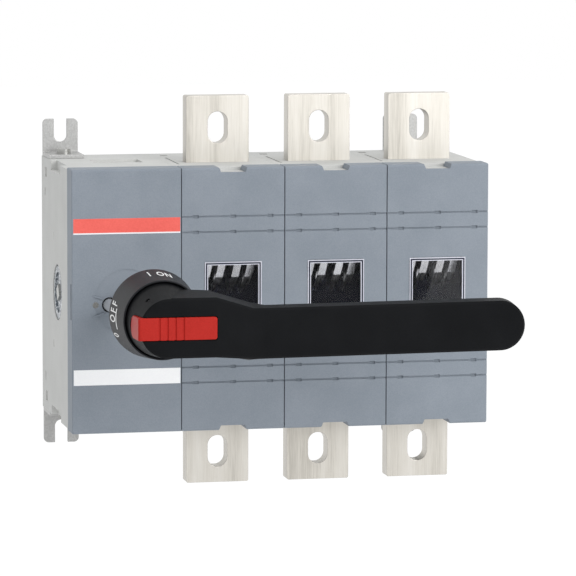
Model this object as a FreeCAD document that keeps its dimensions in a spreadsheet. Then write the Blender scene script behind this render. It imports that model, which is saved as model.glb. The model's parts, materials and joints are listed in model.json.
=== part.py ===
import FreeCAD, Part
import math
import os
import re
import Sketcher

# Three-pole switch disconnector: a mechanism module at the left, three pole modules beside it and a
# front handle on an extended shaft. Millimetres, X to the right, Z up, the front faces -Y. The panel
# that it is fixed to is the plane Y = 0, and X = 0, Z = 0 is the middle of its four fork slots.

SIZES = {
    # modules
    "pole_pitch": 65.0,
    "mechanism_width": 68.4,
    "cover_height": 163.5,
    "cover_front": 118.0,
    "seam_forward": 62.0,
    "housing_inset": 1.05,
    "side_wall": 3.0,
    "end_wall": 9.0,
    "rear_wall": 4.0,
    # covers and windows
    "cover_wall": 3.0,
    "cover_gap": 0.5,
    "cover_fit": 0.15,
    "skirt_depth": 17.0,
    "edge_round": 1.4,
    "side_edge_round": 0.5,
    "strip_inner": 41.9,
    "strip_outer": 51.5,
    "groove_width": 0.9,
    "groove_depth": 0.9,
    "groove_notch_depth": 1.44,
    "groove_notch_width": 3.6,
    "groove_notch_height": 1.8,
    "groove_notch_inset": 7.0,
    "label_thickness": 0.3,
    "label_inset": 0.5,
    "top_notch_width": 17.6,
    "top_notch_taper": 1.2,
    "window_width": 36.0,
    "window_height": 46.8,
    "window_corner": 1.5,
    "window_fit": 0.1,
    "bezel_width": 2.0,
    "bezel_stand": 0.4,
    "pane_thickness": 1.5,
    "pane_sink": 1.2,
    "window_flange": 1.6,
    "window_flange_thickness": 1.0,
    # small openings in the end walls and in the mechanism's side wall
    "end_slot_depth": 1.6,
    "end_slot_inset": 24.0,
    "end_slot_width": 31.0,
    "end_slot_rear": 39.0,
    "end_slot_front": 60.0,
    "end_groove_inset": 5.4,
    "end_groove_width": 1.4,
    "end_groove_rear": 31.0,
    "end_groove_front": 80.0,
    "end_recess_width": 5.0,
    "end_recess_rear": 12.0,
    "end_recess_front": 19.0,
    "side_mark_depth": 1.0,
    "side_mark_width": 3.4,
    "side_mark_length": 6.0,
    "side_mark_forward": 13.5,
    "side_mark_height": 59.0,
    "side_window_rear": 14.0,
    "side_window_front": 20.0,
    "side_window_low": 68.5,
    "side_window_high": 74.8,
    "corner_notch_width": 4.2,
    "corner_notch_rear": 37.0,
    "corner_notch_front": 74.0,
    "corner_notch_depth": 6.0,
    "clip_width": 2.0,
    "clip_depth": 5.0,
    "clip_half_height": 11.0,
    # terminals and contacts
    "terminal_width": 40.0,
    "terminal_thickness": 12.0,
    "terminal_reach": 122.5,
    "terminal_root": 46.0,
    "terminal_edge": 0.8,
    "terminal_fit": 0.05,
    "slot_width": 12.5,
    "slot_length": 20.0,
    "slot_inset": 20.0,
    "tongue_offset": 9.0,
    "tongue_thickness": 3.4,
    "tongue_tip": 22.0,
    "contact_clearance": 0.3,
    "blade_thickness": 3.0,
    "blade_width": 16.0,
    "blade_reach": 33.0,
    "blade_lean": 60.0,
    "drum_radius": 15.0,
    "drum_end_gap": 0.5,
    "neck_radius": 12.0,
    "bearing_clearance": 0.1,
    "axle_square": 8.0,
    "axle_fit": 0.05,
    "plate_count": 6,
    "plate_pitch": 4.6,
    "plate_thickness": 1.2,
    "plate_end_gap": 8.5,
    "plate_rear": 72.0,
    "plate_front": 107.0,
    "plate_mouth_offset": 13.5,
    "plate_mouth_width": 14.0,
    "plate_mouth_depth": 18.0,
    "plate_fit": 0.1,
    # mounting feet, rods and screws
    "left_foot_inset": 11.7,
    "right_foot_inset": 28.7,
    "foot_width": 22.5,
    "foot_thickness": 2.5,
    "foot_run": 23.5,
    "foot_flange": 27.0,
    "foot_corner": 3.0,
    "fork_width": 8.3,
    "fork_depth": 14.7,
    "screw_radius": 2.5,
    "screw_head_radius": 4.5,
    "screw_head_height": 3.0,
    "screw_length": 9.5,
    "screw_forward": 16.0,
    "screw_fit": 0.05,
    "rod_radius": 2.5,
    "rod_fit": 0.02,
    "rod_forward": 46.5,
    "rod_height": 34.0,
    "nut_across": 9.0,
    "nut_thickness": 4.0,
    # mechanism
    "shaft_inset": 36.4,
    "shaft_height": 2.0,
    "shaft_radius": 6.0,
    "shaft_fit": 0.05,
    "boss_gap": 0.3,
    "dish_inset": 34.0,
    "dish_radius": 20.0,
    "dish_depth": 0.4,
    "sector_inset": 33.0,
    "sector_drop": 1.9,
    "sector_inner": 13.6,
    "sector_outer": 21.2,
    "sector_up_angle": 15.8,
    "sector_down_angle": 20.5,
    "sector_rib_width": 0.8,
    "sector_rib_height": 0.5,
    "side_hole_radius": 17.5,
    "journal_recess": 1.5,
    "carrier_forward": 98.0,
    "carrier_thickness": 2.0,
    "carrier_half_height": 52.0,
    "boss_radius": 7.5,
    "boss_stand": 6.0,
    "peg_arm": 9.5,
    "peg_radius": 3.75,
    "peg_hole_gap": 1.0,
    "peg_stand": 22.0,
    "crank_rear": 89.5,
    "crank_thickness": 4.5,
    "crank_clearance": 5.0,
    "crank_rest_angle": 45.0,
    "crank_pin_arm": 14.0,
    "crank_pin_radius": 3.0,
    "crank_pin_length": 17.0,
    "fork_arm": 19.8,
    "fork_rod_offset": 9.0,
    "fork_rod_radius": 2.8,
    "cheek_thickness": 3.0,
    "cheek_edge": 0.3,
    "cheek_gap": 12.6,
    "hub_radius": 10.0,
    "spring_wire": 1.2,
    "spring_radius": 13.0,
    "spring_leg": 20.0,
    "spring_gap": 0.3,
    "lock_screw_arm": 18.2,
    "lock_screw_radius": 1.9,
    # dial collar and handle
    "collar_gap": 78.0,
    "collar_length": 33.0,
    "collar_back_radius": 26.8,
    "collar_front_radius": 23.8,
    "collar_wall": 2.4,
    "collar_rim": 1.2,
    "collar_web": 3.0,
    "collar_nest": 7.0,
    "collar_sleeve_radius": 10.0,
    "collar_hub_gap": 0.3,
    "hub_nest": 2.5,
    "hub_depth": 31.0,
    "hub_front_radius": 17.6,
    "hub_front_shift": 1.2,
    "hub_front_drop": 1.7,
    "handle_edge": 1.2,
    "plateau_reach": 26.6,
    "plateau_high": 18.2,
    "plateau_low": 17.1,
    "flank_start_half": 20.4,
    "flank_end_half": 19.05,
    "neck_rear_lift": 3.2,
    "ramp_reach": 50.4,
    "ramp_rear_drop": 2.0,
    "ramp_rear_half": 17.4,
    "grip_start": 59.0,
    "grip_rear_lift": 10.5,
    "grip_thickness": 12.0,
    "grip_drop": 9.0,
    "grip_half": 14.9,
    "grip_draft": 0.9,
    "grip_middle": -4.8,
    "grip_reach": 218.0,
    "shaft_entry": 22.0,
    "hub_reach": 30.0,
    "slider_middle": 0.35,
    "slider_half": 6.7,
    "slider_fit": 0.4,
    "slider_reach": 26.9,
    "slider_corner": 1.5,
    "slider_depth": 7.5,
    "slider_stand": 0.4,
    "nose_drop": 21.0,
    "nose_top": 20.0,
    "nose_bottom": 20.8,
    "nose_inner": 14.6,
    "nose_bend": 1.0,
    "rib_first": -8.0,
    "rib_pitch": 4.8,
    "rib_count": 4,
    "rib_width": 1.0,
    "rib_depth": 0.7,
    "grub_lift": 19.5,
    "grub_radius": 1.5,
    "grub_length": 12.0,
    "grub_angle": 131.0,
    "cut_margin": 1.0,
}

doc = FreeCAD.newDocument("switch_disconnector")
sheet = doc.addObject("Spreadsheet::Sheet", "sizes")
for row, (name, value) in enumerate(SIZES.items(), start=1):
    sheet.set(f"A{row}", name)
    sheet.set(f"B{row}", str(value))
    sheet.setAlias(f"B{row}", name)
doc.recompute()

ALIAS = re.compile(r"\b(" + "|".join(SIZES) + r")\b")
PLANES = {"front": "XZ_Plane", "side": "YZ_Plane", "top": "XY_Plane"}
NODES = []


def bound(formula):
    """A formula of driving sizes, with each name turned into its cell."""
    return ALIAS.sub(r"sizes.\1", str(formula))


def number(formula):
    """The value that a formula has now."""
    return float(sheet.evalExpression(bound(formula)))


# Places that many pieces share, as formulas of the driving sizes
LEFT = "((right_foot_inset - left_foot_inset - mechanism_width - 3 * pole_pitch) / 2)"
RIGHT = f"({LEFT} + mechanism_width + 3 * pole_pitch)"
SHAFT = f"({LEFT} + shaft_inset)"
COVER_HALF = "(cover_height / 2)"
HOUSING_HALF = "(cover_height / 2 - housing_inset)"
SHOULDER = "(cover_front - skirt_depth - cover_fit)"
HOUSING_FRONT = "(cover_front - cover_wall - cover_fit)"
CAVITY_HALF = f"({HOUSING_HALF} - end_wall)"
CRANK_RADIUS = (
    "(min(shaft_inset; mechanism_width - shaft_inset) - side_wall - cover_wall - crank_clearance)"
)
FOOT_REACH = f"({HOUSING_HALF} + foot_run)"
DISH = f"({LEFT} + dish_inset)"
SECTOR = f"({LEFT} + sector_inset)"
BAR_HALF = "(terminal_thickness / 2)"

# The handle's places, counted forward from the cover face
COLLAR_FRONT = "(collar_gap + collar_length)"
HUB_BACK = f"({COLLAR_FRONT} - hub_nest)"
HUB_FRONT = f"({HUB_BACK} + hub_depth)"
HUB_BACK_RADIUS = "(collar_front_radius - collar_rim - collar_hub_gap)"
SHAFT_END = f"({HUB_BACK} + shaft_entry)"
GRIP_REAR = f"({HUB_BACK} + grip_rear_lift)"
GRIP_FRONT = f"({GRIP_REAR} + grip_thickness)"
CHANNEL_FLOOR = f"({HUB_FRONT} - slider_depth - slider_fit)"
GAP_HALF = "(slider_half + slider_fit)"


def module_left(pole):
    return f"({LEFT} + mechanism_width + {pole - 1} * pole_pitch)"


def module_right(pole):
    return f"({LEFT} + mechanism_width + {pole} * pole_pitch)"


def pole_middle(pole):
    return f"({module_left(pole)} + pole_pitch / 2)"


def new_body(label):
    body = doc.addObject("PartDesign::Body", label)
    body.Label = label
    NODES.append(body)
    return body


def sketch_on(body, view, height="0"):
    """A sketch on one of the body's own planes; height runs forward, to the right or up."""
    sketch = body.newObject("Sketcher::SketchObject", "Sketch")
    plane = next(part for part in body.Origin.OriginFeatures if part.Role == PLANES[view])
    sketch.AttachmentSupport = [(plane, "")]
    sketch.MapMode = "FlatFace"
    sketch.setExpression(".AttachmentOffset.Base.z", bound(height))
    return sketch


def hold(sketch, kind, geometry, point, formula):
    """Fixes one coordinate of a point from the sketch's origin."""
    place = sketch.addConstraint(Sketcher.Constraint(kind, -1, 1, geometry, point, number(formula)))
    sketch.setExpression(f"Constraints[{place}]", bound(formula))


def outline(sketch, points):
    """A closed outline of (x, y) corners. A third value is the radius of the arc that runs on to the
    next corner, and a fourth of -1 bends that arc inwards."""
    first = sketch.GeometryCount
    corners = [FreeCAD.Vector(number(p[0]), number(p[1]), 0) for p in points]
    ends = []
    for index, point in enumerate(points):
        here, there = corners[index], corners[(index + 1) % len(points)]
        if len(point) == 2:
            sketch.addGeometry(Part.LineSegment(here, there), False)
            ends.append((1, 2))
            continue
        turn = point[3] if len(point) > 3 else 1
        radius = number(point[2])
        chord = there - here
        offset = math.sqrt(max(radius**2 - (chord.Length / 2) ** 2, 0))
        side = FreeCAD.Vector(-chord.y, chord.x, 0).normalize() * (offset * turn)
        centre = (here + there) * 0.5 + side
        start, stop = (here, there) if turn > 0 else (there, here)
        circle = Part.Circle(centre, FreeCAD.Vector(0, 0, 1), radius)
        angles = [math.atan2(end.y - centre.y, end.x - centre.x) for end in (start, stop)]
        sketch.addGeometry(Part.ArcOfCircle(circle, *angles), False)
        ends.append((1, 2) if turn > 0 else (2, 1))
    for index, point in enumerate(points):
        following = (index + 1) % len(points)
        sketch.addConstraint(
            Sketcher.Constraint(
                "Coincident", first + index, ends[index][1], first + following, ends[following][0]
            )
        )
        if len(point) > 2:
            place = sketch.addConstraint(
                Sketcher.Constraint("Radius", first + index, number(point[2]))
            )
            sketch.setExpression(f"Constraints[{place}]", bound(point[2]))
        hold(sketch, "DistanceX", first + index, ends[index][0], point[0])
        hold(sketch, "DistanceY", first + index, ends[index][0], point[1])


def rectangle(sketch, x0, x1, y0, y1):
    outline(sketch, [(x0, y0), (x1, y0), (x1, y1), (x0, y1)])


def rounded(sketch, x0, x1, y0, y1, radius):
    """A rectangle with quarter-round corners."""
    outline(
        sketch,
        [
            (f"{x0} + {radius}", y0),
            (f"{x1} - {radius}", y0, radius),
            (x1, f"{y0} + {radius}"),
            (x1, f"{y1} - {radius}", radius),
            (f"{x1} - {radius}", y1),
            (f"{x0} + {radius}", y1, radius),
            (x0, f"{y1} - {radius}"),
            (x0, f"{y0} + {radius}", radius),
        ],
    )


def slot(sketch, x, y, width, length):
    """An upright slot with round ends, as long as it is from end to end."""
    half = f"({width} / 2)"
    straight = f"({length} / 2 - {width} / 2)"
    outline(
        sketch,
        [
            (x, f"{y} - {length} / 2", half),
            (f"{x} + {half}", f"{y} - {straight}"),
            (f"{x} + {half}", f"{y} + {straight}", half),
            (x, f"{y} + {length} / 2", half),
            (f"{x} - {half}", f"{y} + {straight}"),
            (f"{x} - {half}", f"{y} - {straight}", half),
        ],
    )


def circle(sketch, x, y, radius):
    centre = FreeCAD.Vector(number(x), number(y), 0)
    index = sketch.addGeometry(Part.Circle(centre, FreeCAD.Vector(0, 0, 1), number(radius)), False)
    place = sketch.addConstraint(Sketcher.Constraint("Radius", index, number(radius)))
    sketch.setExpression(f"Constraints[{place}]", bound(radius))
    hold(sketch, "DistanceX", index, 3, x)
    hold(sketch, "DistanceY", index, 3, y)


def pad(body, sketch, length):
    feature = body.newObject("PartDesign::Pad", "Pad")
    feature.Profile = sketch
    feature.setExpression("Length", bound(length))
    return feature


def pocket(body, sketch, length, onward=False):
    """Cuts back from the sketch, or onward from it, and checks that it takes material away."""
    doc.recompute()
    before = body.Shape.Volume
    feature = body.newObject("PartDesign::Pocket", "Pocket")
    feature.Profile = sketch
    feature.Reversed = onward
    feature.setExpression("Length", bound(length))
    doc.recompute()
    if not body.Shape.Volume < before:
        raise ValueError(f"{body.Label}: a pocket takes nothing away")
    return feature


def revolution(body, sketch, axis):
    """Turns a sketch round one of the construction lines that it holds."""
    feature = body.newObject("PartDesign::Revolution", "Revolution")
    feature.Profile = sketch
    feature.ReferenceAxis = (sketch, [axis])
    feature.Angle = 360
    return feature


def axis_line(sketch, x, y, along_x):
    """A construction line through a point, to turn a profile round."""
    start = FreeCAD.Vector(number(x), number(y), 0)
    step = FreeCAD.Vector(10, 0, 0) if along_x else FreeCAD.Vector(0, 10, 0)
    index = sketch.addGeometry(Part.LineSegment(start, start + step), True)
    hold(sketch, "DistanceX", index, 1, x)
    hold(sketch, "DistanceY", index, 1, y)
    sketch.addConstraint(Sketcher.Constraint("Horizontal" if along_x else "Vertical", index))
    sketch.addConstraint(Sketcher.Constraint("Distance", index, 10))


def dress(body, kind, size, wanted):
    """A fillet or chamfer on the edges that the rule picks."""
    doc.recompute()
    tip = body.Tip
    names = [f"Edge{i}" for i, edge in enumerate(tip.Shape.Edges, start=1) if wanted(edge)]
    if not names:
        raise ValueError(f"{body.Label}: no edge to dress")
    feature = body.newObject(f"PartDesign::{kind}", kind)
    feature.Base = (tip, names)
    feature.setExpression("Radius" if kind == "Fillet" else "Size", bound(size))
    return feature


def near(value, formula, slack=0.01):
    return abs(value - number(formula)) < slack


def straight_along(edge, axis):
    """True for a straight edge that runs along X, Y or Z."""
    if edge.Curve.TypeId != "Part::GeomLine":
        return False
    return abs(abs(getattr(edge.Curve.Direction, axis)) - 1) < 1e-6


# Moulded halves of the modules, parted at the axis of the contact roller


def rod_holes(body, left, right):
    """Bores for the tie rods through both side walls of a rear half."""
    for side in (-1, 1):
        sketch = sketch_on(body, "side", right)
        circle(sketch, "-rod_forward", f"{side} * rod_height", "rod_radius + screw_fit")
        pocket(body, sketch, f"{right} - ({left})")


def roller_bore(body, left, right, radius):
    sketch = sketch_on(body, "side", right)
    circle(sketch, "-seam_forward", "0", radius)
    pocket(body, sketch, f"{right} - ({left})")


def bar_slots(body, middle):
    """Half of the slots in the end walls that clamp the two terminal bars."""
    sketch = sketch_on(body, "front", f"seam_forward + {BAR_HALF} + terminal_fit")
    for side in (-1, 1):
        ends = sorted([f"{side} * {HOUSING_HALF}", f"{side} * {CAVITY_HALF}"], key=number)
        half = "(terminal_width / 2 + terminal_fit)"
        rectangle(sketch, f"{middle} - {half}", f"{middle} + {half}", *ends)
    pocket(body, sketch, "terminal_thickness + 2 * terminal_fit")


def rear_half(label, left, right):
    """A deep tray with its mouth at the seam."""
    body = new_body(label)
    sketch = sketch_on(body, "front")
    rectangle(sketch, left, right, f"-{HOUSING_HALF}", HOUSING_HALF)
    pad(body, sketch, "seam_forward")
    sketch = sketch_on(body, "front", "seam_forward")
    rectangle(sketch, f"{left} + side_wall", f"{right} - side_wall", f"-{CAVITY_HALF}", CAVITY_HALF)
    pocket(body, sketch, "seam_forward - rear_wall")
    rod_holes(body, left, right)
    return body


def front_half(label, left, right, inner_left, inner_right):
    """The front tray. Its narrower front part stands inside the cover's skirt."""
    body = new_body(label)
    sketch = sketch_on(body, "front", "seam_forward")
    rectangle(sketch, left, right, f"-{HOUSING_HALF}", HOUSING_HALF)
    pad(body, sketch, f"{SHOULDER} - seam_forward")
    sketch = sketch_on(body, "front", SHOULDER)
    inner_half = f"({COVER_HALF} - cover_wall - cover_fit)"
    rectangle(sketch, inner_left, inner_right, f"-{inner_half}", inner_half)
    pad(body, sketch, f"{HOUSING_FRONT} - {SHOULDER}")
    sketch = sketch_on(body, "front", "seam_forward")
    rectangle(
        sketch,
        f"{left} + side_wall + cover_wall",
        f"{right} - side_wall - cover_wall",
        f"-{CAVITY_HALF}",
        CAVITY_HALF,
    )
    pocket(body, sketch, f"{HOUSING_FRONT} - seam_forward - side_wall", onward=True)
    return body


def foot_screw_bore(body, middle):
    """Blind bores in both end walls for the screws of the feet."""
    for side in (-1, 1):
        sketch = sketch_on(body, "top", f"{side} * {HOUSING_HALF}")
        circle(sketch, middle, "-screw_forward", "screw_radius + screw_fit")
        pocket(body, sketch, "end_wall", onward=side < 0)


def front_holes(body, height, depth):
    """Holes in the front of the mechanism for the boss round the shaft and for the peg beside it."""
    for x, z, radius in (
        (SHAFT, "shaft_height", "boss_radius + boss_gap"),
        (f"{SECTOR} - peg_arm", "-sector_drop", "peg_radius + peg_hole_gap"),
    ):
        sketch = sketch_on(body, "front", height)
        circle(sketch, x, z, radius)
        pocket(body, sketch, depth)


def side_marks(body):
    """Blind marks and windows in the mechanism's outer side wall."""
    sketch = sketch_on(body, "side", LEFT)
    for side in (-1, 1):
        level = f"{side} * side_mark_height"
        slot(sketch, "-side_mark_forward", level, "side_mark_width", "side_mark_length")
        ends = sorted([f"{side} * side_window_low", f"{side} * side_window_high"], key=number)
        rectangle(sketch, "-side_window_front", "-side_window_rear", *ends)
    pocket(body, sketch, "side_mark_depth", onward=True)


def end_pockets(body, boxes, depth):
    """Shallow pockets in both end faces; a box is its left, right, rear and front."""
    for side in (-1, 1):
        sketch = sketch_on(body, "top", f"{side} * {HOUSING_HALF}")
        for x0, x1, rear, front in boxes:
            rectangle(sketch, x0, x1, f"-({front})", f"-({rear})")
        pocket(body, sketch, depth, onward=side < 0)


LEFT_FOOT = f"({LEFT} + left_foot_inset)"
RIGHT_FOOT = f"({RIGHT} - right_foot_inset)"

base = rear_half("mechanism_base", LEFT, module_left(1))
roller_bore(base, LEFT, f"{LEFT} + side_wall", "side_hole_radius")
roller_bore(base, f"{module_left(1)} - side_wall", module_left(1), "neck_radius + bearing_clearance")
foot_screw_bore(base, LEFT_FOOT)
side_marks(base)
NOTCH_EDGE = f"{LEFT} + corner_notch_width"
slot_left = f"{LEFT} + end_slot_inset"
end_pockets(base, [(LEFT, NOTCH_EDGE, "corner_notch_rear", "seam_forward")], "corner_notch_depth")
end_pockets(
    base, [(slot_left, f"{slot_left} + end_slot_width", "end_slot_rear", "end_slot_front")], "end_slot_depth"
)

housing = front_half(
    "mechanism_housing",
    LEFT,
    module_left(1),
    f"{LEFT} + cover_wall + cover_fit",
    module_left(1),
)
roller_bore(housing, LEFT, f"{LEFT} + side_wall + cover_wall", "side_hole_radius")
roller_bore(
    housing,
    f"{module_left(1)} - side_wall - cover_wall",
    module_left(1),
    "neck_radius + bearing_clearance",
)
front_holes(housing, HOUSING_FRONT, "side_wall + cover_wall")
end_pockets(housing, [(LEFT, NOTCH_EDGE, "seam_forward", "corner_notch_front")], "corner_notch_depth")

for pole in (1, 2, 3):
    left, right, middle = module_left(pole), module_right(pole), pole_middle(pole)
    groove = f"({left} + end_groove_inset)"
    groove_edge = f"{groove} + end_groove_width"
    base = rear_half(f"pole_{pole}_base", left, right)
    roller_bore(base, left, right, "neck_radius + bearing_clearance")
    bar_slots(base, middle)
    if pole == 3:
        foot_screw_bore(base, RIGHT_FOOT)
    recess = (groove, f"{groove} + end_recess_width", "end_recess_rear", "end_recess_front")
    end_pockets(
        base, [(groove, groove_edge, "end_groove_rear", "seam_forward"), recess], "end_slot_depth"
    )
    edge = f"{right} - cover_wall - cover_fit" if pole == 3 else right
    housing = front_half(f"pole_{pole}_housing", left, right, left, edge)
    roller_bore(housing, left, right, "neck_radius + bearing_clearance")
    bar_slots(housing, middle)
    end_pockets(housing, [(groove, groove_edge, "seam_forward", "end_groove_front")], "end_slot_depth")
    sketch = sketch_on(housing, "front", HOUSING_FRONT)
    rectangle(
        sketch,
        f"{middle} - window_width / 2",
        f"{middle} + window_width / 2",
        "-window_height / 2",
        "window_height / 2",
    )
    pocket(housing, sketch, "side_wall + cover_wall")


# Front covers with their skirts, label strips, grooves and notches


def cover(label, left, right, skirt_left, skirt_right):
    """A shallow tray over the front of a module; an outer cover has a side skirt as well."""
    x0 = left if skirt_left else f"({left} + cover_gap / 2)"
    x1 = right if skirt_right else f"({right} - cover_gap / 2)"
    body = new_body(label)
    sketch = sketch_on(body, "front", "cover_front - skirt_depth")
    rectangle(sketch, x0, x1, f"-{COVER_HALF}", COVER_HALF)
    pad(body, sketch, "skirt_depth")
    sketch = sketch_on(body, "front", "cover_front - skirt_depth")
    rectangle(
        sketch,
        f"{x0} + cover_wall" if skirt_left else x0,
        f"{x1} - cover_wall" if skirt_right else x1,
        f"-({COVER_HALF} - cover_wall)",
        f"{COVER_HALF} - cover_wall",
    )
    pocket(body, sketch, "skirt_depth - cover_wall", onward=True)

    def end_edge(edge):
        centre = edge.BoundBox.Center
        at_end = near(abs(centre.z), COVER_HALF)
        return straight_along(edge, "x") and near(centre.y, "-cover_front") and at_end

    def side_edge(edge):
        centre = edge.BoundBox.Center
        on_left = skirt_left and near(centre.x, x0)
        on_right = skirt_right and near(centre.x, x1)
        return straight_along(edge, "z") and near(centre.y, "-cover_front") and (on_left or on_right)

    dress(body, "Fillet", "edge_round", end_edge)
    if skirt_left or skirt_right:
        dress(body, "Chamfer", "side_edge_round", side_edge)
    return body, x0, x1


def label_strips(body, x0, x1):
    """Shallow beds for the printed labels of the mechanism."""
    sketch = sketch_on(body, "front", "cover_front")
    for side in (-1, 1):
        ends = sorted([f"{side} * strip_inner", f"{side} * strip_outer"], key=number)
        rectangle(sketch, f"{x0} + side_edge_round + label_inset", f"{x1} - label_inset", *ends)
    pocket(body, sketch, "label_thickness")


def strip_grooves(body, x0, x1):
    """The grooves beside the label strips of a pole, each with three wider notches."""
    for depth, notched in (("groove_depth", False), ("groove_notch_depth", True)):
        sketch = sketch_on(body, "front", "cover_front")
        for height in ("strip_inner", "strip_outer"):
            for side in (-1, 1):
                level = f"{side} * {height}"
                if not notched:
                    half = "groove_width / 2"
                    rectangle(sketch, x0, x1, f"{level} - {half}", f"{level} + {half}")
                    continue
                half = "groove_notch_height / 2"
                for share in (0, 1, 2):
                    reach = f"({x1} - {x0} - 2 * groove_notch_inset - groove_notch_width)"
                    start = f"{x0} + groove_notch_inset + {share} / 2 * {reach}"
                    rectangle(
                        sketch,
                        start,
                        f"{start} + groove_notch_width",
                        f"{level} - {half}",
                        f"{level} + {half}",
                    )
        pocket(body, sketch, depth)


def end_notches(body, middle):
    """Sight notches in the top and bottom skirt, in front of the terminals."""
    sketch = sketch_on(body, "front", "cover_front")
    half = "top_notch_width / 2"
    floor = f"({COVER_HALF} - cover_wall)"
    for side in (-1, 1):
        corners = [
            (f"{middle} - {half}", f"{side} * {COVER_HALF}"),
            (f"{middle} - {half} + top_notch_taper", f"{side} * {floor}"),
            (f"{middle} + {half} - top_notch_taper", f"{side} * {floor}"),
            (f"{middle} + {half}", f"{side} * {COVER_HALF}"),
        ]
        outline(sketch, corners)
    pocket(body, sketch, "skirt_depth")


def sector_ribs(body):
    """Two raised radial ribs that frame the screw and the peg."""
    sketch = sketch_on(body, "front", "cover_front - dish_depth")
    for angle in ("sector_up_angle", "(-sector_down_angle)"):
        corners = []
        ends = (("sector_outer", 1), ("sector_inner", 1), ("sector_inner", -1), ("sector_outer", -1))
        for reach, across in ends:
            shift = f"{across} * sector_rib_width / 2"
            corners.append(
                (
                    f"{SECTOR} - {reach} * cos({angle}) + {shift} * sin({angle})",
                    f"-sector_drop + {reach} * sin({angle}) + {shift} * cos({angle})",
                )
            )
        outline(sketch, corners[::-1])
    pad(body, sketch, "dish_depth + sector_rib_height")


body, x0, x1 = cover("mechanism_cover", LEFT, module_left(1), True, False)
label_strips(body, x0, x1)
sketch = sketch_on(body, "front", "cover_front")
circle(sketch, DISH, "0", "dish_radius")
pocket(body, sketch, "dish_depth")
sector_ribs(body)
front_holes(body, "cover_front", "cover_wall")
sketch = sketch_on(body, "front", "cover_front")
circle(sketch, f"{SECTOR} - lock_screw_arm", "-sector_drop", "lock_screw_radius + screw_fit")
pocket(body, sketch, "cover_wall")
sketch = sketch_on(body, "side", LEFT)
rectangle(
    sketch, "-cover_front + clip_width", "-cover_front + clip_depth", "-clip_half_height", "clip_half_height"
)
pocket(body, sketch, "side_mark_depth", onward=True)

for name, side in (("upper_label", 1), ("lower_label", -1)):
    body = new_body(name)
    sketch = sketch_on(body, "front", "cover_front - label_thickness")
    ends = sorted([f"{side} * strip_inner", f"{side} * strip_outer"], key=number)
    rectangle(sketch, f"{x0} + side_edge_round + label_inset", f"{x1} - label_inset", *ends)
    pad(body, sketch, "label_thickness")

body = new_body("lock_screw")
sketch = sketch_on(body, "front", HOUSING_FRONT)
circle(sketch, f"{SECTOR} - lock_screw_arm", "-sector_drop", "lock_screw_radius")
pad(body, sketch, f"cover_front - dish_depth - {HOUSING_FRONT}")

for pole in (1, 2, 3):
    left, right, middle = module_left(pole), module_right(pole), pole_middle(pole)
    body, x0, x1 = cover(f"pole_{pole}_cover", left, right, False, pole == 3)
    strip_grooves(body, x0, x1)
    end_notches(body, middle)
    half_width, half_height = "(window_width / 2)", "(window_height / 2)"
    sketch = sketch_on(body, "front", "cover_front")
    rounded(
        sketch,
        f"{middle} - {half_width}",
        f"{middle} + {half_width}",
        f"-{half_height}",
        half_height,
        "window_corner",
    )
    pocket(body, sketch, "cover_wall")
    sketch = sketch_on(body, "front", "cover_front - cover_wall")
    rectangle(
        sketch,
        f"{middle} - {half_width} - window_flange - window_fit",
        f"{middle} + {half_width} + window_flange + window_fit",
        f"-{half_height} - window_flange - window_fit",
        f"{half_height} + window_flange + window_fit",
    )
    pocket(body, sketch, "window_flange_thickness", onward=True)

    window = new_body(f"pole_{pole}_window")
    sketch = sketch_on(window, "front", "cover_front - cover_wall")
    rectangle(
        sketch,
        f"{middle} - {half_width} - window_flange",
        f"{middle} + {half_width} + window_flange",
        f"-{half_height} - window_flange",
        f"{half_height} + window_flange",
    )
    pad(window, sketch, "window_flange_thickness - window_fit")
    sketch = sketch_on(window, "front", "cover_front - cover_wall")
    rounded(
        sketch,
        f"{middle} - {half_width} + window_fit",
        f"{middle} + {half_width} - window_fit",
        f"-{half_height} + window_fit",
        f"{half_height} - window_fit",
        "(window_corner - window_fit)",
    )
    pad(window, sketch, "cover_wall + bezel_stand")
    sketch = sketch_on(window, "front", "cover_front + bezel_stand")
    rectangle(
        sketch,
        f"{middle} - {half_width} + bezel_width",
        f"{middle} + {half_width} - bezel_width",
        f"-{half_height} + bezel_width",
        f"{half_height} - bezel_width",
    )
    pocket(window, sketch, "pane_sink + bezel_stand")
    sketch = sketch_on(window, "front", "cover_front - cover_wall")
    rectangle(
        sketch,
        f"{middle} - {half_width} + bezel_width",
        f"{middle} + {half_width} - bezel_width",
        f"-{half_height} + bezel_width",
        f"{half_height} - bezel_width",
    )
    pocket(window, sketch, "cover_wall - pane_sink - pane_thickness", onward=True)


# Terminal bars with their inner contact tongues


def terminal(label, middle, side):
    body = new_body(label)
    sketch = sketch_on(body, "front", f"seam_forward - {BAR_HALF}")
    half = "terminal_width / 2"
    ends = sorted([f"{side} * terminal_root", f"{side} * terminal_reach"], key=number)
    rectangle(sketch, f"{middle} - {half}", f"{middle} + {half}", *ends)
    pad(body, sketch, "terminal_thickness")
    dress(
        body,
        "Chamfer",
        "terminal_edge",
        lambda edge: straight_along(edge, "y") and near(abs(edge.BoundBox.Center.z), "terminal_reach"),
    )
    sketch = sketch_on(body, "front", f"seam_forward - {BAR_HALF}")
    tips = sorted([f"{side} * tongue_tip", f"{side} * (terminal_root + cut_margin)"], key=number)
    for lean in (-1, 1):
        place = f"{middle} + {lean} * tongue_offset"
        rectangle(sketch, f"{place} - tongue_thickness / 2", f"{place} + tongue_thickness / 2", *tips)
    pad(body, sketch, "terminal_thickness")
    sketch = sketch_on(body, "front", f"seam_forward + {BAR_HALF}")
    slot(sketch, middle, f"{side} * (terminal_reach - slot_inset)", "slot_width", "slot_length")
    pocket(body, sketch, "terminal_thickness")


# Contact drum, knife blades and arc plates of one pole

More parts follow.
